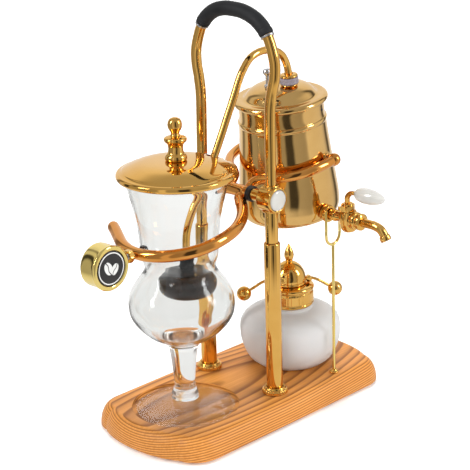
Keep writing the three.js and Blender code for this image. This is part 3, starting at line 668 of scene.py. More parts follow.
# ------------------------------------------------------ columns, tees, shaft
HANDLE_PATH = [
    [0, -44.9, SHAFT_Z + 7], [0, -44.9, 250], [0, -45.6, 300], [0, -48.2, 320], [0, -52.4, 336], [0, -52.2, 352],
    [0, -44.4, 373], [0, -32, 385.2], [0, -17, 391], [0, -2.5, HANDLE_TOP_Z], [0, 12, 391.2], [0, 26, 385.8],
    [0, 38.6, 373.6], [0, 47.2, 352], [0, 48.2, 336], [0, 45.4, 320], [0, 43.8, 300], [0, 44.9, 250], [0, 44.9, SHAFT_Z + 7]]
for side, s in (("front", -1), ("rear", 1)):
    y = s * COL_Y

    def flute(r, z, a, lo=BOARD_TOP + 1, hi=28.4):
        return -0.32 * (0.5 + 0.5 * math.cos(26 * a)) if r > 11.6 and lo < z < hi else 0.0

    swap(f"column_foot_{side}", at(lathe([[8.1, BOARD_TOP + GAP], [12.0, BOARD_TOP + GAP], [12.4, 25.3], [12.4, 26.6], [12.4, 27.7],
         [11.9, 28.6], [10.6, 29.3], [10.3, 30.4], [9.9, 31], [8.1, 31], [8.1, BOARD_TOP + GAP]], 208, wave=flute, sub=3), 0, y, 0), GOLD)
    swap(f"column_lower_{side}", at(lathe([[0, BOARD_TOP + GAP], [COL_LOW_R, BOARD_TOP + GAP], [COL_LOW_R, COL_STEP_Z - 1.2],
         [COL_LOW_R - 0.9, COL_STEP_Z], [0, COL_STEP_Z]], 72), 0, y, 0), GOLD)
    swap(f"column_upper_{side}", at(join(rod(COL_UP_R, COL_STEP_Z + GAP, SHAFT_Z - 8, 64),
         lathe([[6.1, 207.5], [8.6, 207.8], [8.9, 208.8], [8.6, 209.9], [6.1, 210.2]], 64)), 0, y, 0), GOLD)
    barrel = along_y(lathe([[4.4, -31.3], [5.9, -31.3], [5.9, -19.2], [6.4, -18], [TEE_R - 1, -18], [TEE_R, -16.6], [TEE_R, -1.6],
                            [TEE_R - 0.7, -0.2], [TEE_R - 1.6, 0], [10.3, -0.3], [10.2, -1.8], [4.4, -2], [4.4, -31.3]], 96, bevel=0.4))
    barrel = at(barrel, 0, -TEE_FACE_Y, SHAFT_Z)
    socket = at(lathe([[5.3, SHAFT_Z + 9.6], [7.2, SHAFT_Z + 10], [7.4, SHAFT_Z + 12.4], [7.0, SHAFT_Z + 13.6], [5.3, SHAFT_Z + 13.9]], 64), 0, -44.9, 0)
    both = join(barrel, socket)
    if s > 0:
        both = turn_z(both, PI)
    swap(f"tee_{side}", both, GOLD)
    cap = along_y(lathe([[0, 0], [9.8, 0], [9.8, 1.4], [9.3, 2.2], [8.2, 2.8], [5, 3.3], [0, 3.6]], 72))
    if s > 0:
        cap = turn_z(cap, PI)
    swap(f"porcelain_cap_{side}", at(cap, 0, s * (TEE_FACE_Y - 2 + GAP), SHAFT_Z), PORCELAIN)
    a, b = sorted((-s * 17.2, -s * 22.3))
    swap(f"thrust_collar_{side}", at(along_y(lathe([[4.3, a], [7.2, a], [7.6, a + 0.5], [7.6, a + 1.9], [7.0, a + 2.3], [7.0, b - 2.3], [7.6, b - 1.9],
         [7.6, b - 0.5], [7.2, b], [4.3, b], [4.3, a]], 64, bevel=0.2)), 0, 0, SHAFT_Z), BLACK)
swap("cross_shaft", at(along_y(rod(SHAFT_R, -45.6, 45.6, 48)), 0, 0, SHAFT_Z), STEEL)
swap("handle_tube", tube(catmull(HANDLE_PATH, 220), HANDLE_R, 40), GOLD)
U = lambda i: i / (len(HANDLE_PATH) - 1)
G0, G1 = U(6.05), U(11.95)


def grip_r(u):
    e = min(u, 1 - u)
    return GRIP_R - 0.5 * math.exp(-((e / 0.012) ** 2)) - 0.35 * math.exp(-(((e - 0.06) / 0.006) ** 2))


swap("handle_grip", tube(span(HANDLE_PATH, G0, G1, 150), grip_r, 48, r_in=HANDLE_R + 0.4, ends=0.7), RUBBER)
swap("grip_ring_front", tube(span(HANDLE_PATH, G0 - 0.0062, G0 - 0.0012, 8), 6.6, 48, r_in=HANDLE_R + 0.2, ends=0.35), STEEL)
swap("grip_ring_rear", tube(span(HANDLE_PATH, G1 + 0.0012, G1 + 0.0062, 8), 6.6, 48, r_in=HANDLE_R + 0.2, ends=0.35), STEEL)

# --------------------------------------------------- tap guide on the board
hw, zc = 9.6, 168
u = [[GUIDE_X - hw, GUIDE_Y, z] for z in (194, 184, 174)]
u += [[GUIDE_X + hw * math.cos(PI + PI * i / 6), GUIDE_Y, zc + hw * math.sin(PI + PI * i / 6)] for i in range(7)]
u += [[GUIDE_X + hw, GUIDE_Y, z] for z in (174, 184, 194)]
swap("tap_guide", join(tube(catmull(u, 90), 1.4, 24, ends=0.6), at(rod(1.5, BOARD_TOP - 8, zc - hw, 28), GUIDE_X, GUIDE_Y, 0),
     at(ball(2.1, 28, 0.8), GUIDE_X, GUIDE_Y, zc - hw)), PALE_GOLD)
swap("tap_guide_foot", at(lathe([[1.8, BOARD_TOP + GAP], [4.6, BOARD_TOP + GAP], [4.6, BOARD_TOP + 1.6], [3.4, BOARD_TOP + 2.4], [2.6, BOARD_TOP + 3.5],
     [1.8, BOARD_TOP + 3.5], [1.8, BOARD_TOP + GAP]], 48), GUIDE_X, GUIDE_Y, 0), GOLD)

# -------------------------------------------------------------- balance beam
swap("beam_sleeve", at(along_y(lathe([[4.3, -16.9], [6.3, -16.9], [6.8, -16.2], [6.8, -13], [6.4, -12.4], [6.4, 12.4], [6.8, 13], [6.8, 16.2], [6.3, 16.9],
     [4.3, 16.9], [4.3, -16.9]], 64)), 0, 0, SHAFT_Z), COPPERY)
for side, s in (("front", -1), ("rear", 1)):
    path = [[x, s * y, z] for x, y, z in [[3.5, 12.0, 221.5], [11.5, 14, 227.8], [19, 22.5, 230.3], [26, 34, 231.6], [38, 44.8, 233.9],
            [52, 50.6, 236.3], [66, 52.6, 238.5], [PIN_X, 52.4, PIN_Z]]]
    swap(f"fork_arm_{side}", join(tube(catmull(path, 90), 4.7, 36), at(ball(6.2, 40), PIN_X, s * 52.4, PIN_Z)), COPPERY)
    swap(f"pivot_pin_{side}", at(along_y(lathe([[0, 40.4], [PIN_R, 40.4], [PIN_R, 54.4], [0, 54.4]] if s < 0
         else [[0, -54.4], [PIN_R, -54.4], [PIN_R, -40.4], [0, -40.4]], 40)), PIN_X, 0, PIN_Z), STEEL)
path = [[-3.4, -9, 215.6], [-8.5, -13.2, 213.4], [-16, -22.5, 210.6], [-27, -33.5, 208.4], [-40, -43.2, 206.6],
        [-53, -49.6, 204.6], [-67.5, -52.6, 202.2], [-84.6, -52.3, 199.2], [-100, -47.6, 196.4], [-113.2, -38, 194.0],
        [-123.2, -24.6, 192.2], [-128.6, -8.6, 191.1], [-128.7, 8.6, 191.1], [-123.4, 25, 192], [-115.4, 39.2, 193.4],
        [-108.6, 50.5, 194.8], [-103.2, 60, 196]]
swap("counterweight_arm", join(tube(catmull(path, 190), ARM_R, 40), at(ball(ARM_R, 40), -103.2, 60, 196),
     at(ball(ARM_R + 0.6, 40), -5.6, -10.6, 214.6)), COPPERY)


def threaded(r, z0, z1, pitch=1.0):
    n = int((z1 - z0) / pitch)
    pr = [[0, z0]]
    for i in range(n):
        z = z0 + i * pitch
        pr += [[r - 0.45, z + 0.05], [r, z + pitch * 0.4], [r, z + pitch * 0.6]]
    pr += [[r - 0.45, z1], [0, z1]]
    return lathe(pr, 40, fine=False)


def hexnut(r0, r1, z0, z1):
    """A hexagon nut with chamfered corners."""
    c = (z1 - z0) * 0.16
    pr = [[r0, z0], [r1 * 0.93, z0], [r1, z0 + c], [r1, z1 - c], [r1 * 0.93, z1], [r0, z1], [r0, z0]]

    def flat(r, z, a):
        k = a % (PI / 3) - PI / 6
        f = r1 * math.cos(PI / 6) / math.cos(k)
        return min(0.0, f - r) if r > r0 + 0.2 else 0.0

    return lathe(pr, 96, fine=False, wave=flat)


swap("counterweight_stud", at(along_x(threaded(3, -160, -117.2)), 0, 0, WEIGHT_Z + 1), STEEL, sharp=70)
swap("stud_inner_nut", at(along_x(hexnut(3.6, 5.4, -122.3, -118.8)), 0, 0, WEIGHT_Z + 1), BLACK, sharp=24)
swap("stud_lock_nut", at(along_x(hexnut(3.6, 6.4, -141.2, -136.6)), 0, 0, WEIGHT_Z + 1), GOLD, sharp=24)
h = WEIGHT_T / 2
swap("counterweight", at(along_y(lathe([[0, -h], [WEIGHT_R - 3, -h], [WEIGHT_R - 1.2, -h + 0.5], [WEIGHT_R - 0.2, -h + 2], [WEIGHT_R, -h + 3.4], [WEIGHT_R, h - 3.6],
     [WEIGHT_R + 0.2, h - 3.1], [WEIGHT_R + 0.8, h - 2.2], [WEIGHT_R + 0.8, h - 1.2], [WEIGHT_R + 0.1, h - 0.3], [WEIGHT_R - 0.9, h], [17.4, h],
     [16.6, h - 0.3], [16.3, h - 1], [16.3, h - 2], [0, h - 2]], 128, bevel=0.25)), WEIGHT_X, 0, WEIGHT_Z), PALE_GOLD)
swap("badge_disc", at(along_y(lathe([[0, h - 2 + GAP], [15.9, h - 2 + GAP], [15.9, h - 0.8], [15.4, h - 0.5], [14, h - 0.4], [0, h - 0.4]], 96)), WEIGHT_X, 0, WEIGHT_Z), BLACK)
# thin light ring and a plain coffee bean on the badge
bits = [along_y(lathe([[13.7, h - 0.42], [14.0, h - 0.22], [14.5, h - 0.22], [14.8, h - 0.42]], 96, fine=False))]
for cx, cz, rot, k in ((-3.3, 0.6, 0.45, 1.0), (4.0, -1.6, -0.55, 0.86)):
    for sgn in (-1, 1):
        V, F = [], []
        n = 36
        edge, mid = [], []
        for i in range(n + 1):
            t = -1 + 2 * i / n
            wav = 0.85 * math.sin(t * PI)
            w_out = 4.3 * math.sqrt(max(0.0, 1 - t * t))
            x_in = wav * (1 - abs(t) ** 3) + sgn * 0.42
            x_out = sgn * max(w_out, sgn * x_in)
            for j in range(5):
                x = x_in + (x_out - x_in) * j / 4
                lift = 0.28 * math.sin(PI * min(1, (j + 0.4) / 4.8)) * math.sqrt(max(0.0, 1 - t * t))
                V.append((x * k, t * 6.6 * k, h - 0.42 + lift))
        for i in range(n):
            for j in range(4):
                a = i * 5 + j
                F.append((a, a + 1, a + 6, a + 5))
        bits.append(along_y(at(turn_z((np.array(V), F), rot), cx, cz, 0)))
bean = join(*bits)
make("badge_mark", at(bean, WEIGHT_X, 0, WEIGHT_Z), "weight", LIGHT_INK)

# ------------------------------------------------------- boiler and its tap
X = BOIL_X
T = 1.2
outer = [[0, 179], [36, 179], [41.5, 179.4], [45.0, 181.2], [47.4, 184.6], [48.7, 190.4], [48.8, 196], [48.5, 204], [46.3, 226], [44.0, 249],
         [42.2, 272], [42.1, 274.4], [42.7, 275.4], [42.8, 277.2], [42.4, 278.4], [41.4, 279.2], [41.1, 282], [40.9, 294]]
inner = [[39.7, 294], [40.2, 279], [40.2, 275], [42.8, 249], [45.1, 226], [47.3, 204], [47.5, 191], [46, 185.6], [43, 182.2], [38, 180.6], [0, 180.6]]
shell = at(lathe(outer + inner, 160), X, 0, 0)
bosses = [at(along_y(lathe([[0, 40.8], [6.6, 40.8], [6.2, 43], [5.2, 43.8], [5.2, 45], [4.8, 45.6], [2.8, 45.6], [2.8, 41], [0, 41]] if s < 0 else
          [[0, -40.8], [6.6, -40.8], [6.2, -43], [5.2, -43.8], [5.2, -45], [4.8, -45.6], [2.8, -45.6], [2.8, -41], [0, -41]], 48)), PIN_X, 0, PIN_Z) for s in (-1, 1)]
tap_boss = at(along_y(lathe([[3.4, 45], [8.2, 45], [7.4, 47.2], [7, 48], [7, 49.4], [6.7, 49.6], [3.4, 49.6]], 56)), TX, 0, TAP_Z)
rivet = lathe([[0, 0.9], [0.9, 0.8], [1.4, 0.4], [1.6, 0], [0, 0]], 28)
ra = math.radians(-68)
rv = at(turn_z(at(along_y(rivet), 0, -41.0, 0), ra + PI / 2), X, 0, 287)
swap("boiler_shell", leaned(join(shell, *bosses, tap_boss)), DARK_GOLD)
make("boiler_rivet", leaned(rv), "boiler", BLACK)
NX, NY = X + 1.2, -12.2
lid_p = [[0, 310.9], [16.8, 310.4], [24.3, 308.6], [29.4, 305.5], [32.8, 301.5], [34.8, 299.6], [38.6, 299.3], [40.9, 297.6], [41.6, 294.4], [43.0, 294.4], [44.6, 294.9], [45.3, 296.2], [LIP_R, 297.6], [44.9, 298.9], [43.6, 299.8], [42, 300.2],
         [36.5, 300.4], [35.2, 301.0], [33.6, 302.6], [30.2, 306.2], [24.8, 309.4], [17, 311.4], [8, 311.8], [0, 311.9]]
swap("boiler_lid", leaned(at(lathe(lid_p, 160), X, 0, 0)), DARK_GOLD)
swap("filler_neck", leaned(at(lathe([[4.1, 298], [5.6, 298], [5.6, 311.2], [6.2, 312.2], [8.0, 312.3], [8.4, 312.8], [8.0, 313.4], [4.1, 313.4], [4.1, 298]], 64), NX, NY, 0)), GOLD)
swap("stopper_seal", leaned(at(lathe([[4.1, 313.7], [8.6, 313.7], [9, 314.3], [9, 316.1], [8.7, 316.6], [8.7, 317], [9, 317.4], [9, 319.4], [8.5, 320], [4.1, 320], [4.1, 313.7]], 72), NX, NY, 0)), SEAL)
swap("stopper_nut", leaned(at(lathe([[4.1, 320.3], [8.3, 320.3], [8.8, 320.9], [8.7, 321.7], [7.8, 322.6], [6, 323.1], [4.1, 323.2], [4.1, 320.3]], 72), NX, NY, 0)), GOLD)
swap("safety_valve", leaned(at(lathe([[0, 312], [3.6, 312], [3.6, 315], [2, 315.6], [2, 324.6], [3.4, 325.6], [4.1, 327.2], [4.1, 328.4], [3.2, 330.2], [1.6, 330.7], [0, 330.8]], 48), X - 15, 0, 0)), STEEL)
# tap
swap("tap_flange_nut", leaned(at(along_y(lathe([[5.6, 50], [7.9, 50], [8.3, 50.6], [8.3, 54], [7.7, 55], [5.6, 55], [5.6, 50]], 72)), TX, 0, TAP_Z)), GOLD)
yb = -78
pipe = at(along_y(lathe([[0, 50], [4.8, 50], [4.8, 60.5], [5.8, 61.2], [5.8, 63], [4.8, 63.7], [4.8, 74], [0, 74]], 56)), TX, 0, TAP_Z)
body = at(lathe([[0, 177.6], [3.4, 177.6], [5.4, 178], [7.4, 179.9], [8.7, 184], [9.2, 190], [8.5, 196], [7.6, 198.2], [7.2, 198.6], [4.4, 198.6], [4.4, 190], [0, 190]], 72), TX, yb, 0)
collar = at(along_y(lathe([[0, 80], [7.2, 80], [7.8, 81.5], [8.4, 84], [8.5, 86.6], [8.3, 88.5], [7.2, 89.5], [6.9, 90.3], [7.2, 91], [8.1, 91.7], [8.3, 93.2], [8.0, 95], [6.4, 95.9], [4, 96.2], [0, 96.2]], 72)), TX, 0, TAP_Z)
spout_path = [[TX, -94, TAP_Z], [TX, -102, TAP_Z], [TX, -110, TAP_Z - 0.2], [TX, -117, TAP_Z - 2.4], [TX, -121.6, TAP_Z - 8]]
spout = tube(catmull(spout_path, 50), 4.3, 36)
tip = at(turn_x(lathe([[0, -3.4], [3.4, -3.4], [5.0, -3.3], [5.3, -2], [5.4, 0], [5.1, 1.6], [4.4, 2.4], [0, 2.6]], 48), -0.5), TX, -121.8, TAP_Z - 9.4)
swap("tap_body", leaned(join(pipe, body, collar, spout, tip)), GOLD)
swap("tap_bonnet_nut", leaned(at(join(hexnut(2.6, 7.3, 198.9, 204.6), lathe([[2.6, 204.4], [5.6, 204.5], [5.4, 205.6], [4.4, 206.2], [2.6, 206.2]], 48)), TX, yb, 0)), GOLD, sharp=24)
# siphon tube
def to_local(p):
    c, s = math.cos(LEAN), math.sin(LEAN)
    dx, dz = p[0] - PIN_X, p[2] - PIN_Z
    return [PIN_X + dx * c - dz * s, p[1], PIN_Z + dx * s + dz * c]


world = [[58.6, -11.7, 333.2], [52, -11.6, 342.2], [40.4, -11.4, 348.2], [27.8, -11.2, 349.6], [16.7, -11, 347.8], [9.2, -10.8, 343.8],
         [2.3, -10.6, 336.4], [-3.2, -10.4, 328], [-11.3, -10, 311.1], [-20.4, -9.6, 293.4], [-29.1, -9.2, 276.1], [-37.6, -8.8, 260.4], [-47.4, -7.6, 243.5],
         [-55.2, -5.8, 228.6], [-62.6, -3.6, 213], [-66.5, -1.6, 200.4], [-67.8, -0.4, 188.2], [-67.9, 0, 172.5]]
tube_pts = [[NX, NY, 300], [NX, NY, 312], [NX, NY, 324]] + [to_local(p) for p in world]
swap("siphon_tube", leaned(tube(catmull(tube_pts, 240), 3.6, 32, r_in=2.3, ends=0.3)), GOLD)
f = to_local([-67.9, 0, 165])
swap("filter_neck", leaned(at(turn_y(lathe([[0, -5], [6.4, -5], [7.2, -4], [7.4, -3], [6.6, -0.6], [6.3, 1.5], [6.9, 4], [7.2, 5.0], [6.4, 5.8], [4.0, 6.2], [4.0, -1], [0, -1]], 72), -LEAN), f[0], 0, f[2])), RUBBER)
g = to_local([-67.9, 0, 147.5])
fb = [[0, 0], [17, -1.6], [19, -3.4], [20.8, -9.6], [21.6, -11.6], [22.4, -11.6], [23.6, -11.0], [25.6, -8.8], [27.2, -4.6], [27.5, -1], [27.2, 2], [26, 4.4], [24.6, 6], [20.4, 7.6], [18.6, 8.5], [18.2, 9.3],
      [15.5, 9.9], [9, 10.7], [7, 11.5], [5, 11.8], [0, 11.8]]
swap("filter_body", leaned(at(turn_y(lathe(fb, 128), -LEAN), g[0], 0, g[2])), FILTER)
lever = tube(catmull([[TX, yb, 200], [TX, yb, 207], [TX, yb - 0.6, 212.5], [TX, yb - 4.5, 216.8], [TX, yb - 10, 218.2]], 40), lambda t: 2.1 + 0.5 * math.sin(PI * t) ** 2, 32)
swap("tap_plug", leaned(join(lever, at(lathe([[0, 181], [4.1, 181], [4.1, 197.6], [2.1, 197.9], [2.1, 204], [0, 204]], 40), TX, yb, 0))), GOLD)
grip = join(lathe([[0, 0], [2.2, 0], [3.2, 0.6], [5.6, 3.4], [7.1, 8.4], [7.5, 13], [7.3, 18], [6.5, 23.4], [5.0, 28.8], [3.2, 32.6], [1.5, 34.2], [0, 34.4]], 72))
swap("tap_handle", leaned(at(along_y(grip), TX, yb - 11.2, 218.4)), PORCELAIN)

# -------------------------------------------------------------- glass goblet
z0 = BOARD_TOP - 3 + GAP
foot = [[0, z0 + 8.4], [12, z0 + 8.2], [20, z0 + 6.6], [36, z0 + 3.0], [42.4, z0 + 1.0], [44.6, z0], [45.8, z0], [46.8, z0 + 0.8], [46.9, z0 + 1.8], [45.6, z0 + 2.8], [36, z0 + 5.2], [20, z0 + 8.6], [15, z0 + 10.2], [0, z0 + 10.6]]
g_out = [[0, z0 + 9.4], [8, z0 + 9.6], [13.2, z0 + 10.9], [12.6, 34.0], [12.2, 35.0], [12.7, 37.2],
         [11.6, 40.2], [9.9, 45], [10.4, 56], [12.0, 72], [13.0, 80], [14.8, 86.2], [20.5, 91.8], [31, 97.6], [42.5, 108.6], [47.8, 117], [49.6, 126], [49.2, 134], [46.9, 141.6],
         [40.2, 151.8], [34.6, 159.8], [32.9, 164.6], [33.6, 168.4], [36.0, 175], [36.8, 184], [37.1, 194], [38.6, 208], [41.8, 224], [45.2, 238], [48.0, 248.4], [48.1, 249.3]]
g_inn = [[47.5, 249.8], [46.7, 249.2], [43.4, 238], [39.9, 224.4], [36.7, 208], [35.1, 194], [34.8, 184], [34.2, 175.6], [31.7, 168.6], [31.0, 164.6], [32.6, 158.8], [38.4, 150.4],
         [45.2, 140.2], [47.4, 133.6], [47.6, 126.4], [45.9, 118.6], [40.6, 110.4], [30, 100.4], [19.4, 95], [9, 93.1], [0, 92.6]]
swap("glass_goblet", at(lathe(g_out + g_inn, 160, crease=60, bevel=0.3), XG, 0, 0), CLEAR, sharp=75)
make("look_goblet_foot", at(lathe(foot, 160, crease=60, bevel=0.3), XG, 0, 0), "frame", CLEAR_FOOT, sharp=75)
lid = [[0, 262.4], [24, 262], [37, 258.8], [46.4, 253.6], [48, 250.3], [49.0, 249.9], [53.0, 250.2], [55.0, 251.3], [55.8, 253.0], [55.4, 255.2], [54.0, 256.5], [52.0, 257.0], [50.2, 258.0], [49.2, 258.8],
       [39, 263], [32, 264.8], [26, 265.6], [13, 266.2], [0, 266.2]]
lid_o = swap("goblet_lid", at(lathe(lid, 160), XG, 0, 0), GOLD)
cx0, cx1 = XG + 37.5, XG + 60
cutter = make("notch_cutter", at(turn_z(at(rod(5.5, 240, 280, 48, bevel=0.01), 37.5, 0, 0), SLOT_TURN), XG, 0, 0), "goblet_cover", GOLD)
boxm = bmesh.new()
bmesh.ops.create_cube(boxm, size=1.0)
bm_me = bpy.data.meshes.new("notch_box")
bmesh.ops.transform(boxm, matrix=Matrix.Translation(((XG + OX) / 1000, OY / 1000, 0.26)) @ Matrix.Rotation(SLOT_TURN, 4, 'Z') @ Matrix.Translation((0.0585, 0, 0))
                    @ Matrix.Diagonal((0.042, 0.011, 0.04, 1)), verts=boxm.verts)
boxm.to_mesh(bm_me)
boxm.free()
boxo = bpy.data.objects.new("notch_box", bm_me)
bpy.context.scene.collection.objects.link(boxo)
for c in (cutter, boxo):
    m = lid_o.modifiers.new("cut", "BOOLEAN")
    m.operation = "DIFFERENCE"
    m.solver = "EXACT"
    m.object = c
dg = bpy.context.evaluated_depsgraph_get()
dg.update()
new_me = bpy.data.meshes.new_from_object(lid_o.evaluated_get(dg))
lid_o.modifiers.clear()
lid_o.data = new_me
for c in (cutter, boxo):
    bpy.data.objects.remove(c)
if len(lid_o.data.materials) > 1:
    while len(lid_o.data.materials) > 1:
        lid_o.data.materials.pop(index=1)
bm = bmesh.new()
bm.from_mesh(lid_o.data)
for fc in bm.faces:
    fc.smooth = True
    fc.material_index = 0
for e in bm.edges:
    e.smooth = not (len(e.link_faces) == 2 and e.calc_face_angle(0) > math.radians(40))
bm.to_mesh(lid_o.data)
bm.free()
swap("lid_finial", at(lathe([[0, 266.5], [9.4, 266.5], [10.0, 267.3], [10.2, 268.8], [9.9, 270.6], [9.0, 272], [7.6, 273.4], [7.0, 275.6], [6.9, 278], [7.2, 280.6], [8.4, 282.6],
     [10.2, 284.4], [10.6, 286], [10.0, 287.4], [8.0, 288.4], [5.4, 289.2], [4.1, 290.4], [3.9, 291.8], [4.4, 293.2], [5.6, 295], [6.5, 297.4], [6.7, 300], [6.1, 302.6], [4.6, 304.8],
     [2.4, 306.0], [0, 306.2]], 80, crease=50), XG, 0, 0), GOLD)

# --------------------------------------------------------------- spirit lamp
z0 = BOARD_TOP + GAP
l_out = [[0, z0 + 0.8], [22, z0 + 0.5], [31.5, z0], [34.5, z0 + 0.3], [37.6, z0 + 2.4], [41.4, 30.2], [45.2, 36.6], [48.9, 47], [50.1, 56], [LAMP_R, 61], [49.6, 66], [47.8, 70], [43.6, 74.6],
         [38, 77.6], [32, 79.4], [25.4, 80.2], [23, 80.9], [22.6, 82.4], [22.6, 84]]
l_inn = [[20.6, 84], [20.6, 79.6], [24, 78.6], [32.6, 77], [41, 73.4], [46.2, 67.6], [48, 60.5], [46.9, 48], [42.2, 36], [38, z0 + 5], [34, z0 + 3.6], [0, z0 + 3.6]]
swap("lamp_font", at(lathe(l_out + l_inn, 160, crease=50), XL, 0, 0), FROST, sharp=60)


def knurl(r, z, a):
    return -0.22 * (0.5 + 0.5 * math.cos(48 * a)) if r > 23.2 and 87.2 < z < 98.2 else 0.0


lc = [[3.4, 84.4], [23.2, 84.4], [23.8, 85.2], [24.0, 86.4], [23.7, 87.4], [23.9, 88.4], [23.9, 90.8], [23.9, 93], [23.9, 95.4], [23.9, 97.4], [23.6, 98.4], [23.3, 99.2], [23.6, 100.2],
      [24.3, 101], [24.5, 102.2], [24.0, 103.4], [21.5, 104.5], [17.6, 105], [8, 105], [3.4, 105], [3.4, 84.4]]
swap("lamp_collar", at(lathe(lc, 288, crease=50, wave=knurl, sub=3), XL, 0, 0), GOLD)
swap("wick_tube", at(ring(2.2, 3.1, 78, 112, 40), XL, 0, 0), STEEL)
swap("wick", at(lathe([[0, 34], [1.9, 34], [1.9, 116], [1.6, 117.6], [0.9, 118.7], [0, 119]], 32), XL, 0, 0), COTTON)
DIR = math.radians(-40)
dome = [[13.2, 105.4], [16.2, 105.4], [16.5, 106.4], [16.3, 107.4], [16.5, 109.6], [16.2, 112.6], [15.2, 116.6], [13.0, 121], [9.6, 124.6], [5.4, 127.2], [2.4, 128.2], [0, 128.4],
        [0, 125.4], [4.4, 124.6], [7.8, 122.4], [11.2, 118.8], [13.1, 114.6], [13.6, 110], [13.2, 105.4]]
finial = [[0, 127.2], [2.6, 127.4], [3.4, 127.9], [3.3, 128.8], [3.9, 130.2], [4.7, 133], [4.8, 135.4], [4.0, 138.8], [2.4, 142.2], [1.1, 144.8], [0.5, 146.0], [0, 146.2]]
for side, s in (("front", 1), ("rear", -1)):
    e = 0.009
    a0, a1 = (e, PI - e) if s > 0 else (PI + e, 2 * PI - e)
    bits = [lathe(dome, 72, crease=50, a0=a0, a1=a1, sub=4)]
    if s > 0:
        bits.append(lathe(finial, 48, crease=60))
    bits.append(at(along_y(rod(3, -3, 3, 40)), s * 19.3, 0, 108.6))
    bits.append(tube(catmull([[s * 16.2, 0, 108.8], [s * 21, 0, 109.2], [s * 28, 0, 106.8], [s * 36, 0, 101.8], [s * 43, 0, 97.6]], 40), 1.5, 24))
    bits.append(at(ball(7.3, 56), s * 45.6, 0, 96.4))
    swap(f"snuffer_{side}", at(turn_z(join(*bits), DIR), XL, 0, 0), GOLD)

# remaining CAD nodes keep their own shape
for nm in ("column_bolt_front", "column_bolt_rear"):
    NODES[nm].data.polygons.foreach_set("use_smooth", [False] * len(NODES[nm].data.polygons))

# --------------------------------------------------------- floor and lighting
# The studio around the object: soft grey walls with a few dark gaps between the
# soft boxes. Polished metal picks these up; the camera itself sees only pale paper.
BANDS = [(0.0, 0.85), (0.075, 0.80), (0.10, 0.55), (0.115, 0.12), (0.135, 0.14), (0.155, 0.92), (0.25, 0.98), (0.355, 0.92), (0.37, 0.28), (0.39, 0.24), (0.41, 0.72), (0.44, 0.68),
         (0.455, 0.06), (0.477, 0.05), (0.49, 0.46), (0.56, 0.38), (0.65, 0.44), (0.665, 0.86), (0.69, 0.86), (0.70, 0.42), (0.755, 0.42), (0.768, 0.07), (0.815, 0.06), (0.83, 0.48), (0.90, 0.42),
         (0.915, 0.46), (0.93, 0.88), (1.0, 0.85)]
CAM_AZ = math.atan2(-0.66748288, -0.66831417)


def bands(tree, vec):
    """Brightness by compass direction: 0.25 on the ramp is the paper behind the set and 0.75 is the front corner."""
    sep = tree.nodes.new("ShaderNodeSeparateXYZ")
    tree.links.new(vec, sep.inputs[0])
    az = tree.nodes.new("ShaderNodeMath")
    az.operation = "ARCTAN2"
    tree.links.new(sep.outputs["Y"], az.inputs[0])
    tree.links.new(sep.outputs["X"], az.inputs[1])
    turn = tree.nodes.new("ShaderNodeMath")
    turn.operation = "ADD"
    turn.inputs[1].default_value = -CAM_AZ - PI / 2 + 2 * PI
    tree.links.new(az.outputs[0], turn.inputs[0])
    k = tree.nodes.new("ShaderNodeMath")
    k.operation = "MULTIPLY"
    k.inputs[1].default_value = 1 / (2 * PI)
    tree.links.new(turn.outputs[0], k.inputs[0])
    fr = tree.nodes.new("ShaderNodeMath")
    fr.operation = "FRACT"
    tree.links.new(k.outputs[0], fr.inputs[0])
    rp = tree.nodes.new("ShaderNodeValToRGB")
    els = rp.color_ramp.elements
    while len(els) < len(BANDS):
        els.new(0.5)
    for e, (p_, v_) in zip(els, BANDS):
        e.position = p_
        e.color = (v_, v_ * 0.99, v_ * 0.97, 1)
    tree.links.new(fr.outputs[0], rp.inputs["Fac"])
    return sep, rp.outputs["Color"]


def remap(tree, value, lo, hi):
    x = tree.nodes.new("ShaderNodeMapRange")
    x.interpolation_type = "SMOOTHSTEP"
    x.inputs["From Min"].default_value = lo
    x.inputs["From Max"].default_value = hi
    tree.links.new(value, x.inputs["Value"])
    return x.outputs["Result"]


def mixc(tree, fac, a, b):
    x = tree.nodes.new("ShaderNodeMix")
    x.data_type = "RGBA"
    for i, val in ((0, fac), (6, a), (7, b)):
        if isinstance(val, tuple):
            x.inputs[i].default_value = (*val, 1)
        else:
            tree.links.new(val, x.inputs[i])
    return x.outputs[2]


floor_m = Nodes("floor")
ft = floor_m.t
fl = floor_m.noise(3, 2)
floor_m.out(Base_Color=floor_m.ramp(fl, [(0.3, (0.92, 0.92, 0.92)), (0.7, (0.94, 0.94, 0.94))]))
floor_m.setp(Roughness=0.95, Emission_Color=(1, 1, 1, 1), Emission_Strength=0.16)
# painted reflection: to glossy rays the floor is pure emission, pale under the set and banded by compass direction
# further out. These are the studio's bright and dark bands as metal reflects them. The camera still sees the plain pale
# floor.
fsep, painted_reflection_band = bands(ft, floor_m.co)
dist = ft.nodes.new("ShaderNodeVectorMath")
dist.operation = "LENGTH"
ft.links.new(floor_m.co, dist.inputs[0])
near = remap(ft, dist.outputs["Value"], 0.30, 0.62)
painted_reflection_glow = ft.nodes.new("ShaderNodeEmission")
ft.links.new(mixc(ft, near, (0.86, 0.85, 0.83), painted_reflection_band), painted_reflection_glow.inputs["Color"])
lp = ft.nodes.new("ShaderNodeLightPath")
ms = ft.nodes.new("ShaderNodeMixShader")
ft.links.new(lp.outputs["Is Glossy Ray"], ms.inputs[0])
ft.links.new(floor_m.p.outputs[0], ms.inputs[1])
ft.links.new(painted_reflection_glow.outputs[0], ms.inputs[2])
ft.links.new(ms.outputs[0], [n for n in ft.nodes if n.type == "OUTPUT_MATERIAL"][0].inputs["Surface"])
me = bpy.data.meshes.new("floor")
S = 9.0
me.from_pydata([(-S, -S, 0), (S, -S, 0), (S, S, 0), (-S, S, 0)], [], [(0, 1, 2, 3)])
me.materials.append(floor_m.m)
floor = bpy.data.objects.new("floor", me)
bpy.context.scene.collection.objects.link(floor)

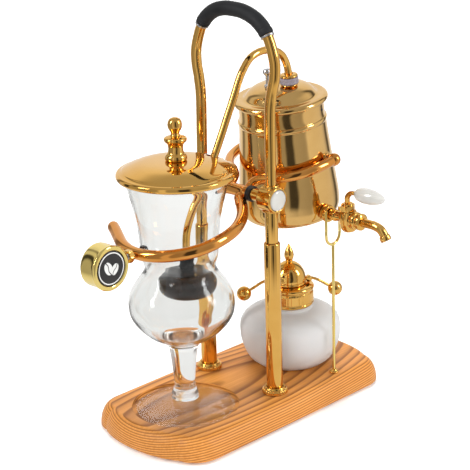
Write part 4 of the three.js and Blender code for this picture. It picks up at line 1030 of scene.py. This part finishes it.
scene = bpy.context.scene
w = bpy.data.worlds.new("studio")
scene.world = w
w.use_nodes = True
wt = w.node_tree
bg = wt.nodes["Background"]
tc = wt.nodes.new("ShaderNodeTexCoord")
wsep, wband = bands(wt, tc.outputs["Generated"])
high = remap(wt, wsep.outputs["Z"], 0.60, 0.86)
seen = mixc(wt, high, wband, (0.50, 0.50, 0.50))
lpw = wt.nodes.new("ShaderNodeLightPath")
mxm = wt.nodes.new("ShaderNodeMath")
mxm.operation = "MAXIMUM"
wt.links.new(lpw.outputs["Is Camera Ray"], mxm.inputs[0])
wt.links.new(lpw.outputs["Is Transmission Ray"], mxm.inputs[1])
wt.links.new(mixc(wt, mxm.outputs[0], seen, (0.95, 0.95, 0.95)), bg.inputs["Color"])
bg.inputs["Strength"].default_value = 1.0


def area(name, loc, target, size, size_y, power):
    d = bpy.data.lights.new(name, "AREA")
    d.shape = "RECTANGLE"
    d.size, d.size_y, d.energy = size, size_y, power
    o = bpy.data.objects.new(name, d)
    scene.collection.objects.link(o)
    o.location = loc
    o.rotation_euler = (Vector(target) - Vector(loc)).to_track_quat("-Z", "Y").to_euler()
    return o


area("key", (-1.9, 0.9, 1.5), (0, 0, 0.2), 0.5, 1.3, 26)
area("fill", (1.2, -1.9, 1.3), (0, 0, 0.2), 0.45, 1.2, 20)
top = area("top", (0.2, 0.1, 2.2), (0, 0, 0), 0.9, 0.5, 26)
back = area("back", (1.5, 1.6, 1.3), (0, 0, 0.2), 0.9, 0.5, 16)
front = area("front_fill", (-1.1, -1.3, 0.75), (0, 0, 0.15), 1.6, 1.1, 15)
for lamp_o in (front, back, top):
    lamp_o.visible_glossy = False
    lamp_o.visible_transmission = False

cam_d = bpy.data.cameras.new("camera")
cam = bpy.data.objects.new("camera", cam_d)
scene.collection.objects.link(cam)
cam_d.sensor_width = 36
cam_d.sensor_fit = "HORIZONTAL"
cam_d.lens = 1682.65 / 470 * 36
cam_d.clip_start, cam_d.clip_end = 0.05, 60
R_, U_, B_ = Vector((0.69983511, -0.71380781, -0.02663134)), Vector((0.25216459, 0.2120024, 0.94417583)), Vector((-0.66831417, -0.66748288, 0.32836377))
cam.matrix_world = Matrix(((R_.x, U_.x, B_.x, -1.05075), (R_.y, U_.y, B_.y, -1.04035), (R_.z, U_.z, B_.z, 0.7003), (0, 0, 0, 1)))
scene.camera = cam
scene.view_settings.view_transform = "Standard"
scene.view_settings.look = "None"

bpy.context.view_layer.update()
